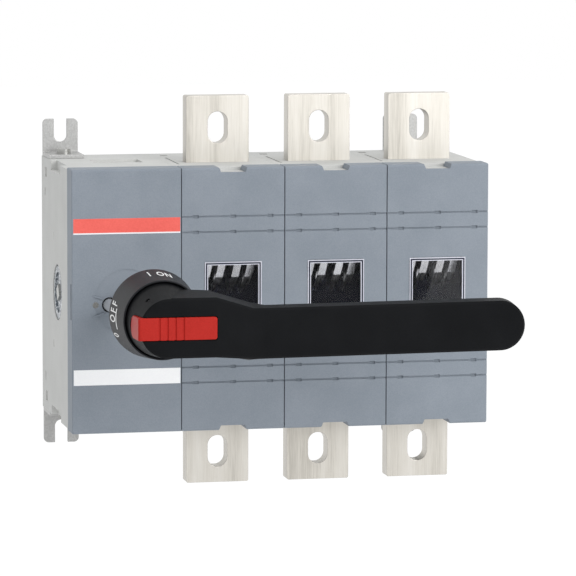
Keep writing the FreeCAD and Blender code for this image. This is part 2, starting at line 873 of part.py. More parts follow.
DRUM_SIDES = 8
BLADE_PLACES = [
    f"{lean} * tongue_offset + {side} * (tongue_thickness / 2 + contact_clearance + blade_thickness / 2)"
    for lean in (-1, 1)
    for side in (-1, 1)
]


def turned_box(body_label_sketch, half_width, low, high, angle):
    """A rectangle turned about the roller axis, in a side sketch; its length points up at zero."""
    corners = []
    for across, along in ((-1, low), (1, low), (1, high), (-1, high)):
        forward = f"({across} * {half_width} * cos({angle}) + ({along}) * sin({angle}))"
        up = f"(({along}) * cos({angle}) - {across} * {half_width} * sin({angle}))"
        corners.append((f"-seam_forward - {forward}", up))
    corners.reverse()
    outline(body_label_sketch, corners)


def contact_drum(label, left, right, middle):
    """The eight-sided moulded drum that carries the blades, with a round neck in each side wall."""
    body = new_body(label)
    sketch = sketch_on(body, "top")
    axis_line(sketch, middle, "-seam_forward", True)
    neck_start, neck_end = f"{left} + bearing_clearance", f"{right} - bearing_clearance"
    drum_start = f"{left} + side_wall + cover_wall + drum_end_gap"
    drum_end = f"{right} - side_wall - cover_wall - drum_end_gap"
    axis = "-seam_forward"
    rectangle(sketch, neck_start, neck_end, f"{axis} - neck_radius", axis)
    revolution(body, sketch, "Axis0")
    sketch = sketch_on(body, "side", drum_start)
    corners = []
    for corner in range(DRUM_SIDES):
        turn = f"(blade_lean + {(corner + 0.5) * 360 / DRUM_SIDES})"
        corners.append((f"{axis} + drum_radius * cos({turn})", f"drum_radius * sin({turn})"))
    outline(sketch, corners)
    pad(body, sketch, f"{drum_end} - ({drum_start})")
    sketch = sketch_on(body, "side", right)
    turned_box(
        sketch, "(axle_square / 2 + axle_fit)", "-axle_square / 2 - axle_fit", "axle_square / 2 + axle_fit",
        "blade_lean",
    )
    pocket(body, sketch, f"{right} - {left}")
    for place in BLADE_PLACES:
        sketch = sketch_on(body, "side", f"{middle} + {place} + blade_thickness / 2 + axle_fit")
        turned_box(
            sketch, "(blade_width / 2 + axle_fit)", "-2 * drum_radius", "2 * drum_radius", "blade_lean"
        )
        pocket(body, sketch, "blade_thickness + 2 * axle_fit")


def blade_stack(label, middle):
    """Four knife blades on the axle, in two pairs that straddle the fixed tongues."""
    body_parts = []
    for index, place in enumerate(BLADE_PLACES, start=1):
        body = doc.addObject("PartDesign::Body", f"{label}_{index}")
        sketch = sketch_on(body, "side", f"{middle} + {place} - blade_thickness / 2")
        turned_box(sketch, "blade_width / 2", "-blade_reach", "blade_reach", "blade_lean")
        pad(body, sketch, "blade_thickness")
        sketch = sketch_on(body, "side", f"{middle} + {place} + blade_thickness / 2")
        turned_box(
            sketch, "(axle_square / 2 + axle_fit)", "-axle_square / 2 - axle_fit",
            "axle_square / 2 + axle_fit", "blade_lean",
        )
        pocket(body, sketch, "blade_thickness")
        dress(body, "Chamfer", "blade_width / 4", lambda edge: straight_along(edge, "x") and tip_edge(edge))
        body_parts.append(body)
    group = doc.addObject("Part::Compound", label)
    group.Links = body_parts
    group.Label = label
    NODES.append(group)


def tip_edge(edge):
    """True for the corner edges at the two ends of a blade."""
    centre = edge.BoundBox.Center
    return math.hypot(centre.y + number("seam_forward"), centre.z) > number("blade_reach")


def arc_plates(label, left, right, middle, side):
    """A stack of steel plates, each with a mouth for either pair of blades."""
    body = doc.addObject("PartDesign::Body", f"{label}_plate")
    first = f"({CAVITY_HALF} - plate_end_gap - (plate_count - 1) * plate_pitch)"
    low = f"{first} - plate_thickness" if side > 0 else f"-{first}"
    sketch = sketch_on(body, "top", low)
    half = "plate_mouth_width / 2"
    rear, front = "-plate_rear", "-plate_front"
    corners = [(f"{left} + side_wall + cover_wall + plate_fit", rear)]
    for lean in (-1, 1):
        place = f"{middle} + {lean} * plate_mouth_offset"
        corners += [
            (f"{place} - {half}", rear),
            (place, f"{rear} - plate_mouth_depth"),
            (f"{place} + {half}", rear),
        ]
    corners += [
        (f"{right} - side_wall - cover_wall - plate_fit", rear),
        (f"{right} - side_wall - cover_wall - plate_fit", front),
        (f"{left} + side_wall + cover_wall + plate_fit", front),
    ]
    corners.reverse()
    outline(sketch, corners)
    pad(body, sketch, "plate_thickness")
    doc.recompute()
    row = doc.addObject("Part::Compound", label)
    copies = []
    for index in range(int(number("plate_count"))):
        copy = doc.addObject("Part::Feature", f"{label}_{index}")
        copy.Shape = body.Shape
        copy.Placement.Base.z = side * index * number("plate_pitch")
        copies.append(copy)
    row.Links = copies
    row.Label = label
    NODES.append(row)


for pole in (1, 2, 3):
    left, right, middle = module_left(pole), module_right(pole), pole_middle(pole)
    terminal(f"pole_{pole}_upper_terminal", middle, 1)
    terminal(f"pole_{pole}_lower_terminal", middle, -1)
    contact_drum(f"pole_{pole}_drum", left, right, middle)
    blade_stack(f"pole_{pole}_blades", middle)
    arc_plates(f"pole_{pole}_upper_arc_plates", left, right, middle, 1)
    arc_plates(f"pole_{pole}_lower_arc_plates", left, right, middle, -1)


# Mounting feet, their screws and the tie rods


def foot(label, middle, side):
    """A folded strip: a fork on the panel and a flange on the end wall of the housing."""
    body = new_body(label)
    sketch = sketch_on(body, "side", f"{middle} - foot_width / 2")
    inner, outer = f"{side} * {HOUSING_HALF}", f"{side} * ({HOUSING_HALF} + foot_thickness)"
    corners = [
        ("0", inner),
        ("-foot_flange", inner),
        ("-foot_flange", outer),
        ("-foot_thickness", outer),
        ("-foot_thickness", f"{side} * {FOOT_REACH}"),
        ("0", f"{side} * {FOOT_REACH}"),
    ]
    outline(sketch, corners)
    pad(body, sketch, "foot_width")
    half = "fork_width / 2"
    sketch = sketch_on(body, "front", "foot_thickness")
    centre = f"{side} * ({FOOT_REACH} - fork_depth + {half})"
    mouth = f"{side} * {FOOT_REACH}"
    floor = f"{side} * ({FOOT_REACH} - fork_depth)"
    fork = [
        (f"{middle} - {half}", mouth),
        (f"{middle} - {half}", centre, half, side),
        (middle, floor, half, side),
        (f"{middle} + {half}", centre),
        (f"{middle} + {half}", mouth),
    ]
    outline(sketch, fork)
    pocket(body, sketch, "foot_thickness")
    sketch = sketch_on(body, "top", outer)
    circle(sketch, middle, "-screw_forward", "screw_radius + screw_fit")
    pocket(body, sketch, "foot_thickness", onward=side < 0)

    def fork_corner(edge):
        centre = edge.BoundBox.Center
        outer_side = near(abs(centre.x - number(middle)), "foot_width / 2")
        return straight_along(edge, "y") and near(abs(centre.z), FOOT_REACH) and outer_side

    dress(body, "Fillet", "foot_corner", fork_corner)


for row, side in (("upper", 1), ("lower", -1)):
    foot(f"{row}_left_foot", LEFT_FOOT, side)
    foot(f"{row}_right_foot", RIGHT_FOOT, side)


def cylinder(label, radius, height, place, along="z"):
    """A round bar whose foot stands at place, along X, Y (forwards) or Z."""
    bar = doc.addObject("Part::Cylinder", label)
    bar.setExpression("Radius", bound(radius))
    bar.setExpression("Height", bound(height))
    turn = {"x": ((0, 1, 0), 90), "y": ((1, 0, 0), 90), "z": ((0, 0, 1), 0), "down": ((1, 0, 0), 180)}
    axis, angle = turn[along]
    bar.Placement.Rotation = FreeCAD.Rotation(FreeCAD.Vector(*axis), angle)
    for letter, formula in zip("xyz", place):
        bar.setExpression(f"Placement.Base.{letter}", bound(formula))
    return bar


def prism(label, across, height, place):
    """A hexagonal bar along X, with its size across flats."""
    bar = doc.addObject("Part::Prism", label)
    bar.Polygon = 6
    bar.setExpression("Circumradius", bound(f"{across} / sqrt(3)"))
    bar.setExpression("Height", bound(height))
    bar.Placement.Rotation = FreeCAD.Rotation(FreeCAD.Vector(0, 1, 0), 90)
    for letter, formula in zip("xyz", place):
        bar.setExpression(f"Placement.Base.{letter}", bound(formula))
    return bar


def fuse(label, first, second):
    joined = doc.addObject("Part::Fuse", label)
    joined.Base, joined.Tool = first, second
    return joined


def cut(label, first, second):
    left_over = doc.addObject("Part::Cut", label)
    left_over.Base, left_over.Tool = first, second
    return left_over


def compound(label, parts):
    group = doc.addObject("Part::Compound", label)
    group.Links = parts
    group.Label = label
    NODES.append(group)


screws = []
for side, along in ((1, "z"), (-1, "down")):
    for corner, middle in (("left", LEFT_FOOT), ("right", RIGHT_FOOT)):
        name = f"screw_{corner}_{along}"
        seat = f"{side} * ({HOUSING_HALF} + foot_thickness)"
        end = f"{side} * ({HOUSING_HALF} + foot_thickness - screw_length)"
        head = cylinder(
            f"{name}_head", "screw_head_radius", "screw_head_height", (middle, "-screw_forward", seat), along
        )
        shank = cylinder(
            f"{name}_shank", "screw_radius", "screw_length", (middle, "-screw_forward", end), along
        )
        screws.append(fuse(name, head, shank))
compound("foot_screws", screws)

rods, nuts = [], []
for side in (-1, 1):
    height = f"{side} * rod_height"
    rods.append(
        cylinder(f"rod_{side + 1}", "rod_radius", f"{RIGHT} - {LEFT}", (LEFT, "-rod_forward", height), "x")
    )
    nut_places = (f"{LEFT} + side_wall", f"{RIGHT} - side_wall - nut_thickness")
    for end, start in zip(("left", "right"), nut_places):
        name = f"nut_{side + 1}_{end}"
        place = (start, "-rod_forward", height)
        blank = prism(f"{name}_blank", "nut_across", "nut_thickness", place)
        bore = cylinder(f"{name}_bore", "rod_radius + rod_fit", "nut_thickness", place, "x")
        nuts.append(cut(name, blank, bore))
compound("tie_rods", rods)
compound("tie_rod_nuts", nuts)


# Mechanism: contact axle, drive drum with its fork, crank, carrier plate, boss and spring

FORK_ANGLE = "(90 + blade_lean / 2)"

body = new_body("contact_axle")
sketch = sketch_on(body, "side", f"{LEFT} + bearing_clearance")
turned_box(sketch, "(axle_square / 2)", "-axle_square / 2", "axle_square / 2", "blade_lean")
pad(body, sketch, f"{RIGHT} - {LEFT} - 2 * bearing_clearance")

body = new_body("drive_drum")
sketch = sketch_on(body, "top")
axis_line(sketch, LEFT, "-seam_forward", True)
axis = "-seam_forward"
journal_start = f"{LEFT} + journal_recess"
journal_end = f"{LEFT} + side_wall + 2 * cover_wall"
neck_end = f"{module_left(1)} - 2 * bearing_clearance"
hub_end = f"{module_left(1)} - side_wall - cover_wall - drum_end_gap"
outline(
    sketch,
    [
        (journal_start, f"{axis} - side_hole_radius + bearing_clearance"),
        (journal_end, f"{axis} - side_hole_radius + bearing_clearance"),
        (journal_end, f"{axis} - hub_radius"),
        (hub_end, f"{axis} - hub_radius"),
        (hub_end, f"{axis} - neck_radius"),
        (neck_end, f"{axis} - neck_radius"),
        (neck_end, axis),
        (journal_start, axis),
    ],
)
revolution(body, sketch, "Axis0")
pin_side = f"({SHAFT} - crank_pin_arm - crank_pin_radius - contact_clearance)"
cheeks = (f"{pin_side} - cheek_thickness", f"{pin_side} + cheek_gap")
rod_centres = []
for side in (-1, 1):
    reach, shift = "fork_arm", f"{side} * fork_rod_offset"
    forward = f"({reach} * sin({FORK_ANGLE}) - ({shift}) * cos({FORK_ANGLE}))"
    up = f"({reach} * cos({FORK_ANGLE}) + ({shift}) * sin({FORK_ANGLE}))"
    rod_centres.append((f"-seam_forward - {forward}", up))
for start in cheeks:
    sketch = sketch_on(body, "side", start)
    half = "(fork_rod_offset + fork_rod_radius + cheek_edge)"
    turned_box(sketch, half, "0", "fork_arm + fork_rod_radius + cheek_edge", FORK_ANGLE)
    pad(body, sketch, "cheek_thickness")
for place in rod_centres:
    sketch = sketch_on(body, "side", cheeks[0])
    circle(sketch, place[0], place[1], "fork_rod_radius")
    pad(body, sketch, "cheek_gap + 2 * cheek_thickness")
sketch = sketch_on(body, "side", module_left(1))
turned_box(
    sketch, "(axle_square / 2 + axle_fit)", "-axle_square / 2 - axle_fit", "axle_square / 2 + axle_fit",
    "blade_lean",
)
pocket(body, sketch, "mechanism_width")

body = new_body("operating_shaft")
sketch = sketch_on(body, "front", "crank_rear + crank_thickness")
circle(sketch, SHAFT, "shaft_height", "shaft_radius")
pad(body, sketch, f"cover_front + {SHAFT_END} - crank_rear - crank_thickness")

body = new_body("crank_disc")
sketch = sketch_on(body, "front", "crank_rear")
circle(sketch, SHAFT, "shaft_height", CRANK_RADIUS)
pad(body, sketch, "crank_thickness")
sketch = sketch_on(body, "front", "crank_rear - crank_pin_length")
pin_arm = "crank_pin_arm * cos(crank_rest_angle)"
circle(sketch, f"{SHAFT} - {pin_arm}", f"shaft_height - {pin_arm}", "crank_pin_radius")
pad(body, sketch, "crank_pin_length + crank_thickness / 2")

body = new_body("carrier_plate")
sketch = sketch_on(body, "front", "carrier_forward")
rectangle(
    sketch,
    f"{LEFT} + side_wall + cover_wall + plate_fit",
    f"{module_left(1)} - side_wall - cover_wall - plate_fit",
    "-carrier_half_height",
    "carrier_half_height",
)
pad(body, sketch, "carrier_thickness")
sketch = sketch_on(body, "front", "carrier_forward + carrier_thickness")
circle(sketch, SHAFT, "shaft_height", "shaft_radius + shaft_fit")
pocket(body, sketch, "carrier_thickness")

body = new_body("shaft_boss")
sketch = sketch_on(body, "front", "carrier_forward + carrier_thickness")
circle(sketch, SHAFT, "shaft_height", "boss_radius")
circle(sketch, SHAFT, "shaft_height", "shaft_radius + shaft_fit")
pad(body, sketch, "cover_front + boss_stand - carrier_forward - carrier_thickness")

body = new_body("side_peg")
sketch = sketch_on(body, "front", "carrier_forward + carrier_thickness")
circle(sketch, f"{SECTOR} - peg_arm", "-sector_drop", "peg_radius")
pad(body, sketch, "cover_front + peg_stand - carrier_forward - carrier_thickness")

body = new_body("torsion_spring")
sketch = sketch_on(body, "front", "carrier_forward - spring_gap - spring_wire")
inner, outer = "(spring_radius - spring_wire / 2)", "(spring_radius + spring_wire / 2)"
outline(
    sketch,
    [
        (SHAFT, f"shaft_height - {outer}", outer),
        (f"{SHAFT} + {outer}", "shaft_height", outer),
        (SHAFT, f"shaft_height + {outer}"),
        (f"{SHAFT} - spring_leg", f"shaft_height + {outer}"),
        (f"{SHAFT} - spring_leg", f"shaft_height + {inner}"),
        (SHAFT, f"shaft_height + {inner}", inner, -1),
        (f"{SHAFT} + {inner}", "shaft_height", inner, -1),
        (SHAFT, f"shaft_height - {inner}"),
        (f"{SHAFT} - spring_leg", f"shaft_height - {inner}"),
        (f"{SHAFT} - spring_leg", f"shaft_height - {outer}"),
    ],
)
pad(body, sketch, "spring_wire")


# Dial collar, handle lever, lock slider and the grub screw


def ahead(formula):
    """Y of a place that is counted forward from the cover face."""
    return f"-cover_front - ({formula})"


body = new_body("dial_collar")
sketch = sketch_on(body, "top", "shaft_height")
axis_line(sketch, SHAFT, "0", False)
hub_clear = "shaft_radius + shaft_fit"
web_front = f"{COLLAR_FRONT} - collar_nest"
outline(
    sketch,
    [
        (f"{SHAFT} + {hub_clear}", ahead("collar_gap")),
        (f"{SHAFT} + collar_sleeve_radius", ahead("collar_gap")),
        (f"{SHAFT} + collar_sleeve_radius", ahead(f"{web_front} - collar_web")),
        (f"{SHAFT} + collar_front_radius - collar_wall", ahead(f"{web_front} - collar_web")),
        (f"{SHAFT} + collar_back_radius - collar_wall", ahead("collar_gap")),
        (f"{SHAFT} + collar_back_radius", ahead("collar_gap")),
        (f"{SHAFT} + collar_front_radius", ahead(COLLAR_FRONT)),
        (f"{SHAFT} + collar_front_radius - collar_rim", ahead(COLLAR_FRONT)),
        (f"{SHAFT} + collar_front_radius - collar_rim", ahead(web_front)),
        (f"{SHAFT} + {hub_clear}", ahead(web_front)),
    ],
)
revolution(body, sketch, "Axis0")


def chamfered(sketch, rear, front, middle, rear_half, front_half):
    """A section of the lever, wider at the rear, with its four corners cut off."""
    edge = "handle_edge"
    slope = f"({rear_half} - ({front_half})) / ({front} - ({rear})) * {edge}"
    corners = []
    for side in (-1, 1):
        half = [
            (ahead(rear), f"{middle} + {side} * ({rear_half} - {edge})"),
            (ahead(f"{rear} + {edge}"), f"{middle} + {side} * ({rear_half} - {slope})"),
            (ahead(f"{front} - {edge}"), f"{middle} + {side} * ({front_half} + {slope})"),
            (ahead(front), f"{middle} + {side} * ({front_half} - {edge})"),
        ]
        corners += half if side < 0 else half[::-1]
    corners.reverse()
    outline(sketch, corners)


def loft(body, sections):
    feature = body.newObject("PartDesign::AdditiveLoft", "Loft")
    feature.Profile = sections[0]
    feature.Sections = sections[1:]
    feature.Ruled = True


# The lever: an oblique cone as its hub, a neck that tapers to the right and a flat grip
body = new_body("handle_lever")
front_x, front_z = f"{SHAFT} - hub_front_shift", "shaft_height - hub_front_drop"
sections = []
for forward, x, z, radius in (
    (HUB_BACK, SHAFT, "shaft_height", HUB_BACK_RADIUS),
    (f"{HUB_FRONT} - handle_edge", front_x, front_z, "hub_front_radius"),
    (HUB_FRONT, front_x, front_z, "hub_front_radius - handle_edge"),
):
    sketch = sketch_on(body, "front", f"cover_front + {forward}")
    circle(sketch, x, z, radius)
    sections.append(sketch)
loft(body, sections)
neck_rear = f"({HUB_BACK} + neck_rear_lift)"
plateau_half = "((plateau_high + plateau_low) / 2)"
plateau_middle = "((plateau_high - plateau_low) / 2)"
ramp_rear = f"({GRIP_REAR} - ramp_rear_drop)"
STATIONS = [
    ("0", neck_rear, HUB_FRONT, plateau_middle, "flank_start_half", plateau_half),
    ("plateau_reach", neck_rear, HUB_FRONT, plateau_middle, "flank_end_half", plateau_half),
    ("ramp_reach", ramp_rear, GRIP_FRONT, "grip_middle", "ramp_rear_half", "grip_half"),
    ("grip_start", GRIP_REAR, GRIP_FRONT, "grip_middle", "grip_half + grip_draft", "grip_half"),
]
tip = "(grip_reach - grip_half)"
tip_rear, tip_front = f"({GRIP_REAR} - grip_drop)", f"({GRIP_FRONT} - grip_drop)"
STATIONS.append((tip, tip_rear, tip_front, "grip_middle", "grip_half + grip_draft", "grip_half"))
sections = []
for reach, *shape in STATIONS:
    sketch = sketch_on(body, "side", f"{SHAFT} + {reach}")
    chamfered(sketch, *shape)
    sections.append(sketch)
loft(body, sections)
sketch = sketch_on(body, "top", "grip_middle")
tip_axis = f"({SHAFT} + {tip})"
axis_line(sketch, tip_axis, "0", False)
slope = "grip_draft / grip_thickness * handle_edge"
outline(
    sketch,
    [
        (tip_axis, ahead(tip_front)),
        (f"{tip_axis} + grip_half - handle_edge", ahead(tip_front)),
        (f"{tip_axis} + grip_half + {slope}", ahead(f"{tip_front} - handle_edge")),
        (f"{tip_axis} + grip_half + grip_draft - {slope}", ahead(f"{tip_rear} + handle_edge")),
        (f"{tip_axis} + grip_half + grip_draft - handle_edge", ahead(tip_rear)),
        (tip_axis, ahead(tip_rear)),
    ],
)
revolution(body, sketch, "Axis0")
sketch = sketch_on(body, "front", f"cover_front + {HUB_BACK}")
circle(sketch, SHAFT, "shaft_height", "shaft_radius + shaft_fit")
pocket(body, sketch, "shaft_entry + shaft_fit", onward=True)


# The channel of the lock slider: open over the plateau, and down the hub's outer flank for the nose
sketch = sketch_on(body, "front", f"cover_front + {HUB_FRONT}")
channel_end = f"{SHAFT} + slider_reach + slider_fit"
outline(
    sketch,
    [
        (f"{SHAFT} - hub_reach", f"slider_middle - {GAP_HALF}"),
        (f"{channel_end} - slider_corner", f"slider_middle - {GAP_HALF}", "slider_corner"),
        (channel_end, f"slider_middle - {GAP_HALF} + slider_corner"),
        (channel_end, f"slider_middle + {GAP_HALF} - slider_corner", "slider_corner"),
        (f"{channel_end} - slider_corner", f"slider_middle + {GAP_HALF}"),
        (f"{SHAFT} - hub_reach", f"slider_middle + {GAP_HALF}"),
    ],
)
pocket(body, sketch, "slider_depth + slider_fit")


def tongue(sketch, end, half, mouth):
    """The slider's nose seen from the side: straight edges and a round end."""
    outline(
        sketch,
        [
            (ahead(f"{end} + {half}"), f"slider_middle - {half}", half),
            (ahead(end), "slider_middle", half),
            (ahead(f"{end} + {half}"), f"slider_middle + {half}"),
            (ahead(mouth), f"slider_middle + {half}"),
            (ahead(mouth), f"slider_middle - {half}"),
        ],
    )


sketch = sketch_on(body, "side", f"{SHAFT} - hub_reach")
nose_end = f"({HUB_FRONT} + slider_stand - nose_drop)"
tongue(sketch, f"({nose_end} - slider_fit)", GAP_HALF, f"{CHANNEL_FLOOR} + cut_margin")
pocket(body, sketch, "hub_reach - nose_inner + slider_fit", onward=True)

slider = new_body("lock_slider")
sketch = sketch_on(slider, "top", "slider_middle - slider_half")
face = f"{HUB_FRONT} + slider_stand"
floor = f"{HUB_FRONT} - slider_depth"
outline(
    sketch,
    [
        (f"{SHAFT} - nose_bottom", ahead(nose_end)),
        (f"{SHAFT} - nose_top", ahead(f"{face} - nose_bend")),
        (f"{SHAFT} - nose_top + nose_bend", ahead(face)),
        (f"{SHAFT} + slider_reach", ahead(face)),
        (f"{SHAFT} + slider_reach", ahead(floor)),
        (f"{SHAFT} - nose_inner", ahead(floor)),
        (f"{SHAFT} - nose_inner", ahead(nose_end)),
    ],
)
pad(slider, sketch, "2 * slider_half")
margin = "(slider_half + cut_margin)"
for side in (-1, 1):
    corner = [
        (ahead(nose_end), "slider_middle", "slider_half", side),
        (ahead(f"{nose_end} + slider_half"), f"slider_middle + {side} * slider_half"),
        (ahead(f"{nose_end} + slider_half"), f"slider_middle + {side} * {margin}"),
        (ahead(f"{nose_end} - cut_margin"), f"slider_middle + {side} * {margin}"),
        (ahead(f"{nose_end} - cut_margin"), "slider_middle"),
    ]
    corner_sketch = sketch_on(slider, "side", f"{SHAFT} - hub_reach")
    outline(corner_sketch, corner)
    pocket(slider, corner_sketch, "hub_reach - nose_inner + slider_fit", onward=True)


def slider_corner(edge):
    centre = edge.BoundBox.Center
    return straight_along(edge, "y") and near(centre.x, f"{SHAFT} + slider_reach")


dress(slider, "Fillet", "slider_corner", slider_corner)
sketch = sketch_on(slider, "front", f"cover_front + {face}")
for index in range(int(number("rib_count"))):
    start = f"({SHAFT} + rib_first + {index} * rib_pitch)"
    rectangle(
        sketch, start, f"{start} + rib_width", f"slider_middle - {margin}", f"slider_middle + {margin}"
    )
pocket(slider, sketch, "rib_depth")


# The grub screw that clamps the lever on the shaft, down its own bore in the hub


def radial(item, path, along, start):
    """Stands a cylinder on the shaft's axis, leaning out at the screw's angle."""
    base = item.AttachmentOffset if path == "AttachmentOffset" else item.Placement
    base.Rotation = FreeCAD.Rotation(FreeCAD.Vector(0, -1, 0), number("grub_angle") - 90)
    setattr(item, path, base)
    item.setExpression(f"{path}.Rotation.Angle", bound("grub_angle - 90"))
    item.setExpression(f"{path}.Base.x", bound(f"{SHAFT} + {start} * cos(grub_angle)"))
    item.setExpression(f"{path}.Base.y", bound(along))
    item.setExpression(f"{path}.Base.z", bound(f"shaft_height + {start} * sin(grub_angle)"))


doc.recompute()
bore = body.newObject("PartDesign::SubtractiveCylinder", "Bore")
plane = next(part for part in body.Origin.OriginFeatures if part.Role == PLANES["top"])
bore.AttachmentSupport = [(plane, "")]
bore.MapMode = "FlatFace"
grub_forward = f"({HUB_BACK} + grub_lift)"
radial(bore, "AttachmentOffset", ahead(grub_forward), "0")
bore.setExpression("Radius", bound("grub_radius + screw_fit"))
bore.setExpression("Height", bound(f"{HUB_BACK_RADIUS} + cut_margin"))

screw = doc.addObject("Part::Cylinder", "grub_screw")
screw.Label = "grub_screw"
screw.setExpression("Radius", bound("grub_radius"))
screw.setExpression("Height", bound("grub_length"))
radial(screw, "Placement", ahead(grub_forward), "(shaft_radius + shaft_fit)")
NODES.append(screw)

doc.recompute()
for body in NODES:
    if body.Shape.isNull() or not body.Shape.isValid():
        raise ValueError(f"{body.Label} has no valid shape")
for item in doc.Objects:
    if "Invalid" in item.State or "Error" in item.State:
        raise ValueError(f"{item.Label} failed")
os.makedirs("parts", exist_ok=True)
for body in NODES:
    body.Shape.exportStep(f"parts/{body.Label}.step")
print(len(NODES), "nodes")
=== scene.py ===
import bpy
import bmesh
import json
import math
from mathutils import Matrix, Vector


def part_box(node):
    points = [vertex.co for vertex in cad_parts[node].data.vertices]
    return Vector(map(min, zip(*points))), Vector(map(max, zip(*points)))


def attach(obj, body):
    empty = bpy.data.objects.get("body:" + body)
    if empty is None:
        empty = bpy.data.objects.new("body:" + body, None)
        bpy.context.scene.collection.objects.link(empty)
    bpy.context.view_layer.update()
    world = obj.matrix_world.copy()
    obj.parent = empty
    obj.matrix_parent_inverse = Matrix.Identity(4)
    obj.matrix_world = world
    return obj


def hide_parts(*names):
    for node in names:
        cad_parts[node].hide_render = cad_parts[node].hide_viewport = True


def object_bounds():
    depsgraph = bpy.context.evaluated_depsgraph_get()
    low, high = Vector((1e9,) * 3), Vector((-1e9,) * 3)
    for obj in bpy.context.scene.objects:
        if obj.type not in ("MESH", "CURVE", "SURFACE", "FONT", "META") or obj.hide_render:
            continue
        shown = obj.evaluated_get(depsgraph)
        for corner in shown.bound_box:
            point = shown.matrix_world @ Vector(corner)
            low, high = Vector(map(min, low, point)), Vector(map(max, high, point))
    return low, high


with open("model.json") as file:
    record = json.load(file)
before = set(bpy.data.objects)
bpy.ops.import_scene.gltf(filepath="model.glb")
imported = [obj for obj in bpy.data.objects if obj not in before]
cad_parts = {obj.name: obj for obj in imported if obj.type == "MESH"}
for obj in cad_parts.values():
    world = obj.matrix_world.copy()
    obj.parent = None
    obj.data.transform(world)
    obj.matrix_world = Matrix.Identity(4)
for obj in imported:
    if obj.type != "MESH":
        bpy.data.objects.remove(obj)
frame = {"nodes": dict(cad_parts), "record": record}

CAD_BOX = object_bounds()
NODES = frame["nodes"]
SCENE = bpy.context.scene
MM = 0.001

# The photograph's frame and the camera that was fitted to it
IMAGE = 576
FOCAL_PIXELS = 4229
YAW, PITCH, ROLL = (math.radians(a) for a in (12.18, 6.72, 0.14))
CAMERA_PLACE = Vector((-536.8, -2662.1, 312.8)) * MM


def linear(code):
    """An sRGB hex colour as linear red, green, blue and alpha."""
    parts = [int(code[i : i + 2], 16) / 255 for i in (1, 3, 5)]
    return [p / 12.92 if p <= 0.04045 else ((p + 0.055) / 1.055) ** 2.4 for p in parts] + [1.0]


def add(tree, kind, links=None, **settings):
    """Adds a node. A setting is a property of the node itself or the value of an input, and i1
    stands for the input with number 1. Links feed inputs from other nodes' sockets."""
    node = tree.nodes.new(kind)
    for key in [key for key in settings if hasattr(node, key)]:
        setattr(node, key, settings.pop(key))
    for key, value in settings.items():
        numbered = key[0] == "i" and key[1:].isdigit()
        node.inputs[int(key[1:]) if numbered else key].default_value = value
    for key, source in (links or {}).items():
        tree.links.new(source, node.inputs[key])
    return node


def new_material(name):
    """An empty node material with its shader, its output and Object coordinates."""
    material = bpy.data.materials.new(name)
    material.use_nodes = True
    tree = material.node_tree
    tree.nodes.clear()
    output = add(tree, "ShaderNodeOutputMaterial")
    shader = add(tree, "ShaderNodeBsdfPrincipled")
    tree.links.new(shader.outputs[0], output.inputs["Surface"])
    coordinates = add(tree, "ShaderNodeTexCoord").outputs["Object"]
    return material, tree, shader, coordinates


def noise(tree, place, grain_mm, detail, roughness=0.55, squeeze=(1, 1, 1)):
    """Noise whose features are about grain_mm wide, squeezed along the axes that squeeze names."""
    mapped = add(tree, "ShaderNodeMapping", {"Vector": place}, Scale=squeeze)
    texture = add(
        tree,
        "ShaderNodeTexNoise",
        {"Vector": mapped.outputs["Vector"]},
        Scale=1 / (grain_mm * MM),
        Detail=detail,
        Roughness=roughness,
    )
    return texture.outputs["Fac"]


# Where most of a noise lies, and the sums of two patterns that the materials spread their shades on
NOISE_SPAN = (0.3, 0.7)
GRAIN_SPAN = (0.62, 1.12)
STREAK_SPAN = (0.55, 1.05)
SPANGLE_SPAN = (0.3, 1.3)
# Widths in mm: clouds from the melt's flow, the wider bands of a brushed bar, the specks in zinc
FLOW_MM = 25.0
BAND_MM = 14.0
SPECK_MM = 0.5


def surface(tree, shader, shade, span, shades, fine, gloss, depth_mm):
    """Feeds the shader: (place, hex colour) shades along one pattern's span, and gloss and small
    heights along a finer pattern, whose middle range is NOISE_SPAN."""
    share = add(tree, "ShaderNodeMapRange", {"Value": shade})
    rough = add(tree, "ShaderNodeMapRange", {"Value": fine})
    for node, source, result in ((share, span, (0.0, 1.0)), (rough, NOISE_SPAN, gloss)):
        for key, value in zip(("From Min", "From Max", "To Min", "To Max"), source + result):
            node.inputs[key].default_value = value
    colours = add(tree, "ShaderNodeValToRGB", {"Fac": share.outputs["Result"]})
    elements = colours.color_ramp.elements
    while len(elements) < len(shades):
        elements.new(0.5)
    for element, (place, code) in zip(elements, shades):
        element.position = place
        element.color = linear(code)
    height = add(tree, "ShaderNodeBump", {"Height": fine}, Strength=1.0, Distance=depth_mm * MM)
    tree.links.new(colours.outputs["Color"], shader.inputs["Base Color"])
    tree.links.new(rough.outputs["Result"], shader.inputs["Roughness"])
    tree.links.new(height.outputs["Normal"], shader.inputs["Normal"])


def moulded_plastic(name, shades, roughness, grain_mm, grain_depth_mm, sheen=0.3):
    """Injection-moulded plastic: a spark-eroded grain in the mould gives fine even bumps and gloss, and
    slight clouds in shade come from the flow of the melt."""
    material, tree, shader, place = new_material(name)
    clouds = noise(tree, place, FLOW_MM, detail=2.0)
    grain = noise(tree, place, grain_mm, detail=2.0, roughness=0.6)
    mixed = add(tree, "ShaderNodeMath", {0: clouds, 2: grain}, operation="MULTIPLY_ADD", i1=0.7)
    gloss = (roughness - 0.05, roughness + 0.07)
    surface(tree, shader, mixed.outputs[0], GRAIN_SPAN, shades, grain, gloss, grain_depth_mm)
    shader.inputs["Specular IOR Level"].default_value = sheen
    return material


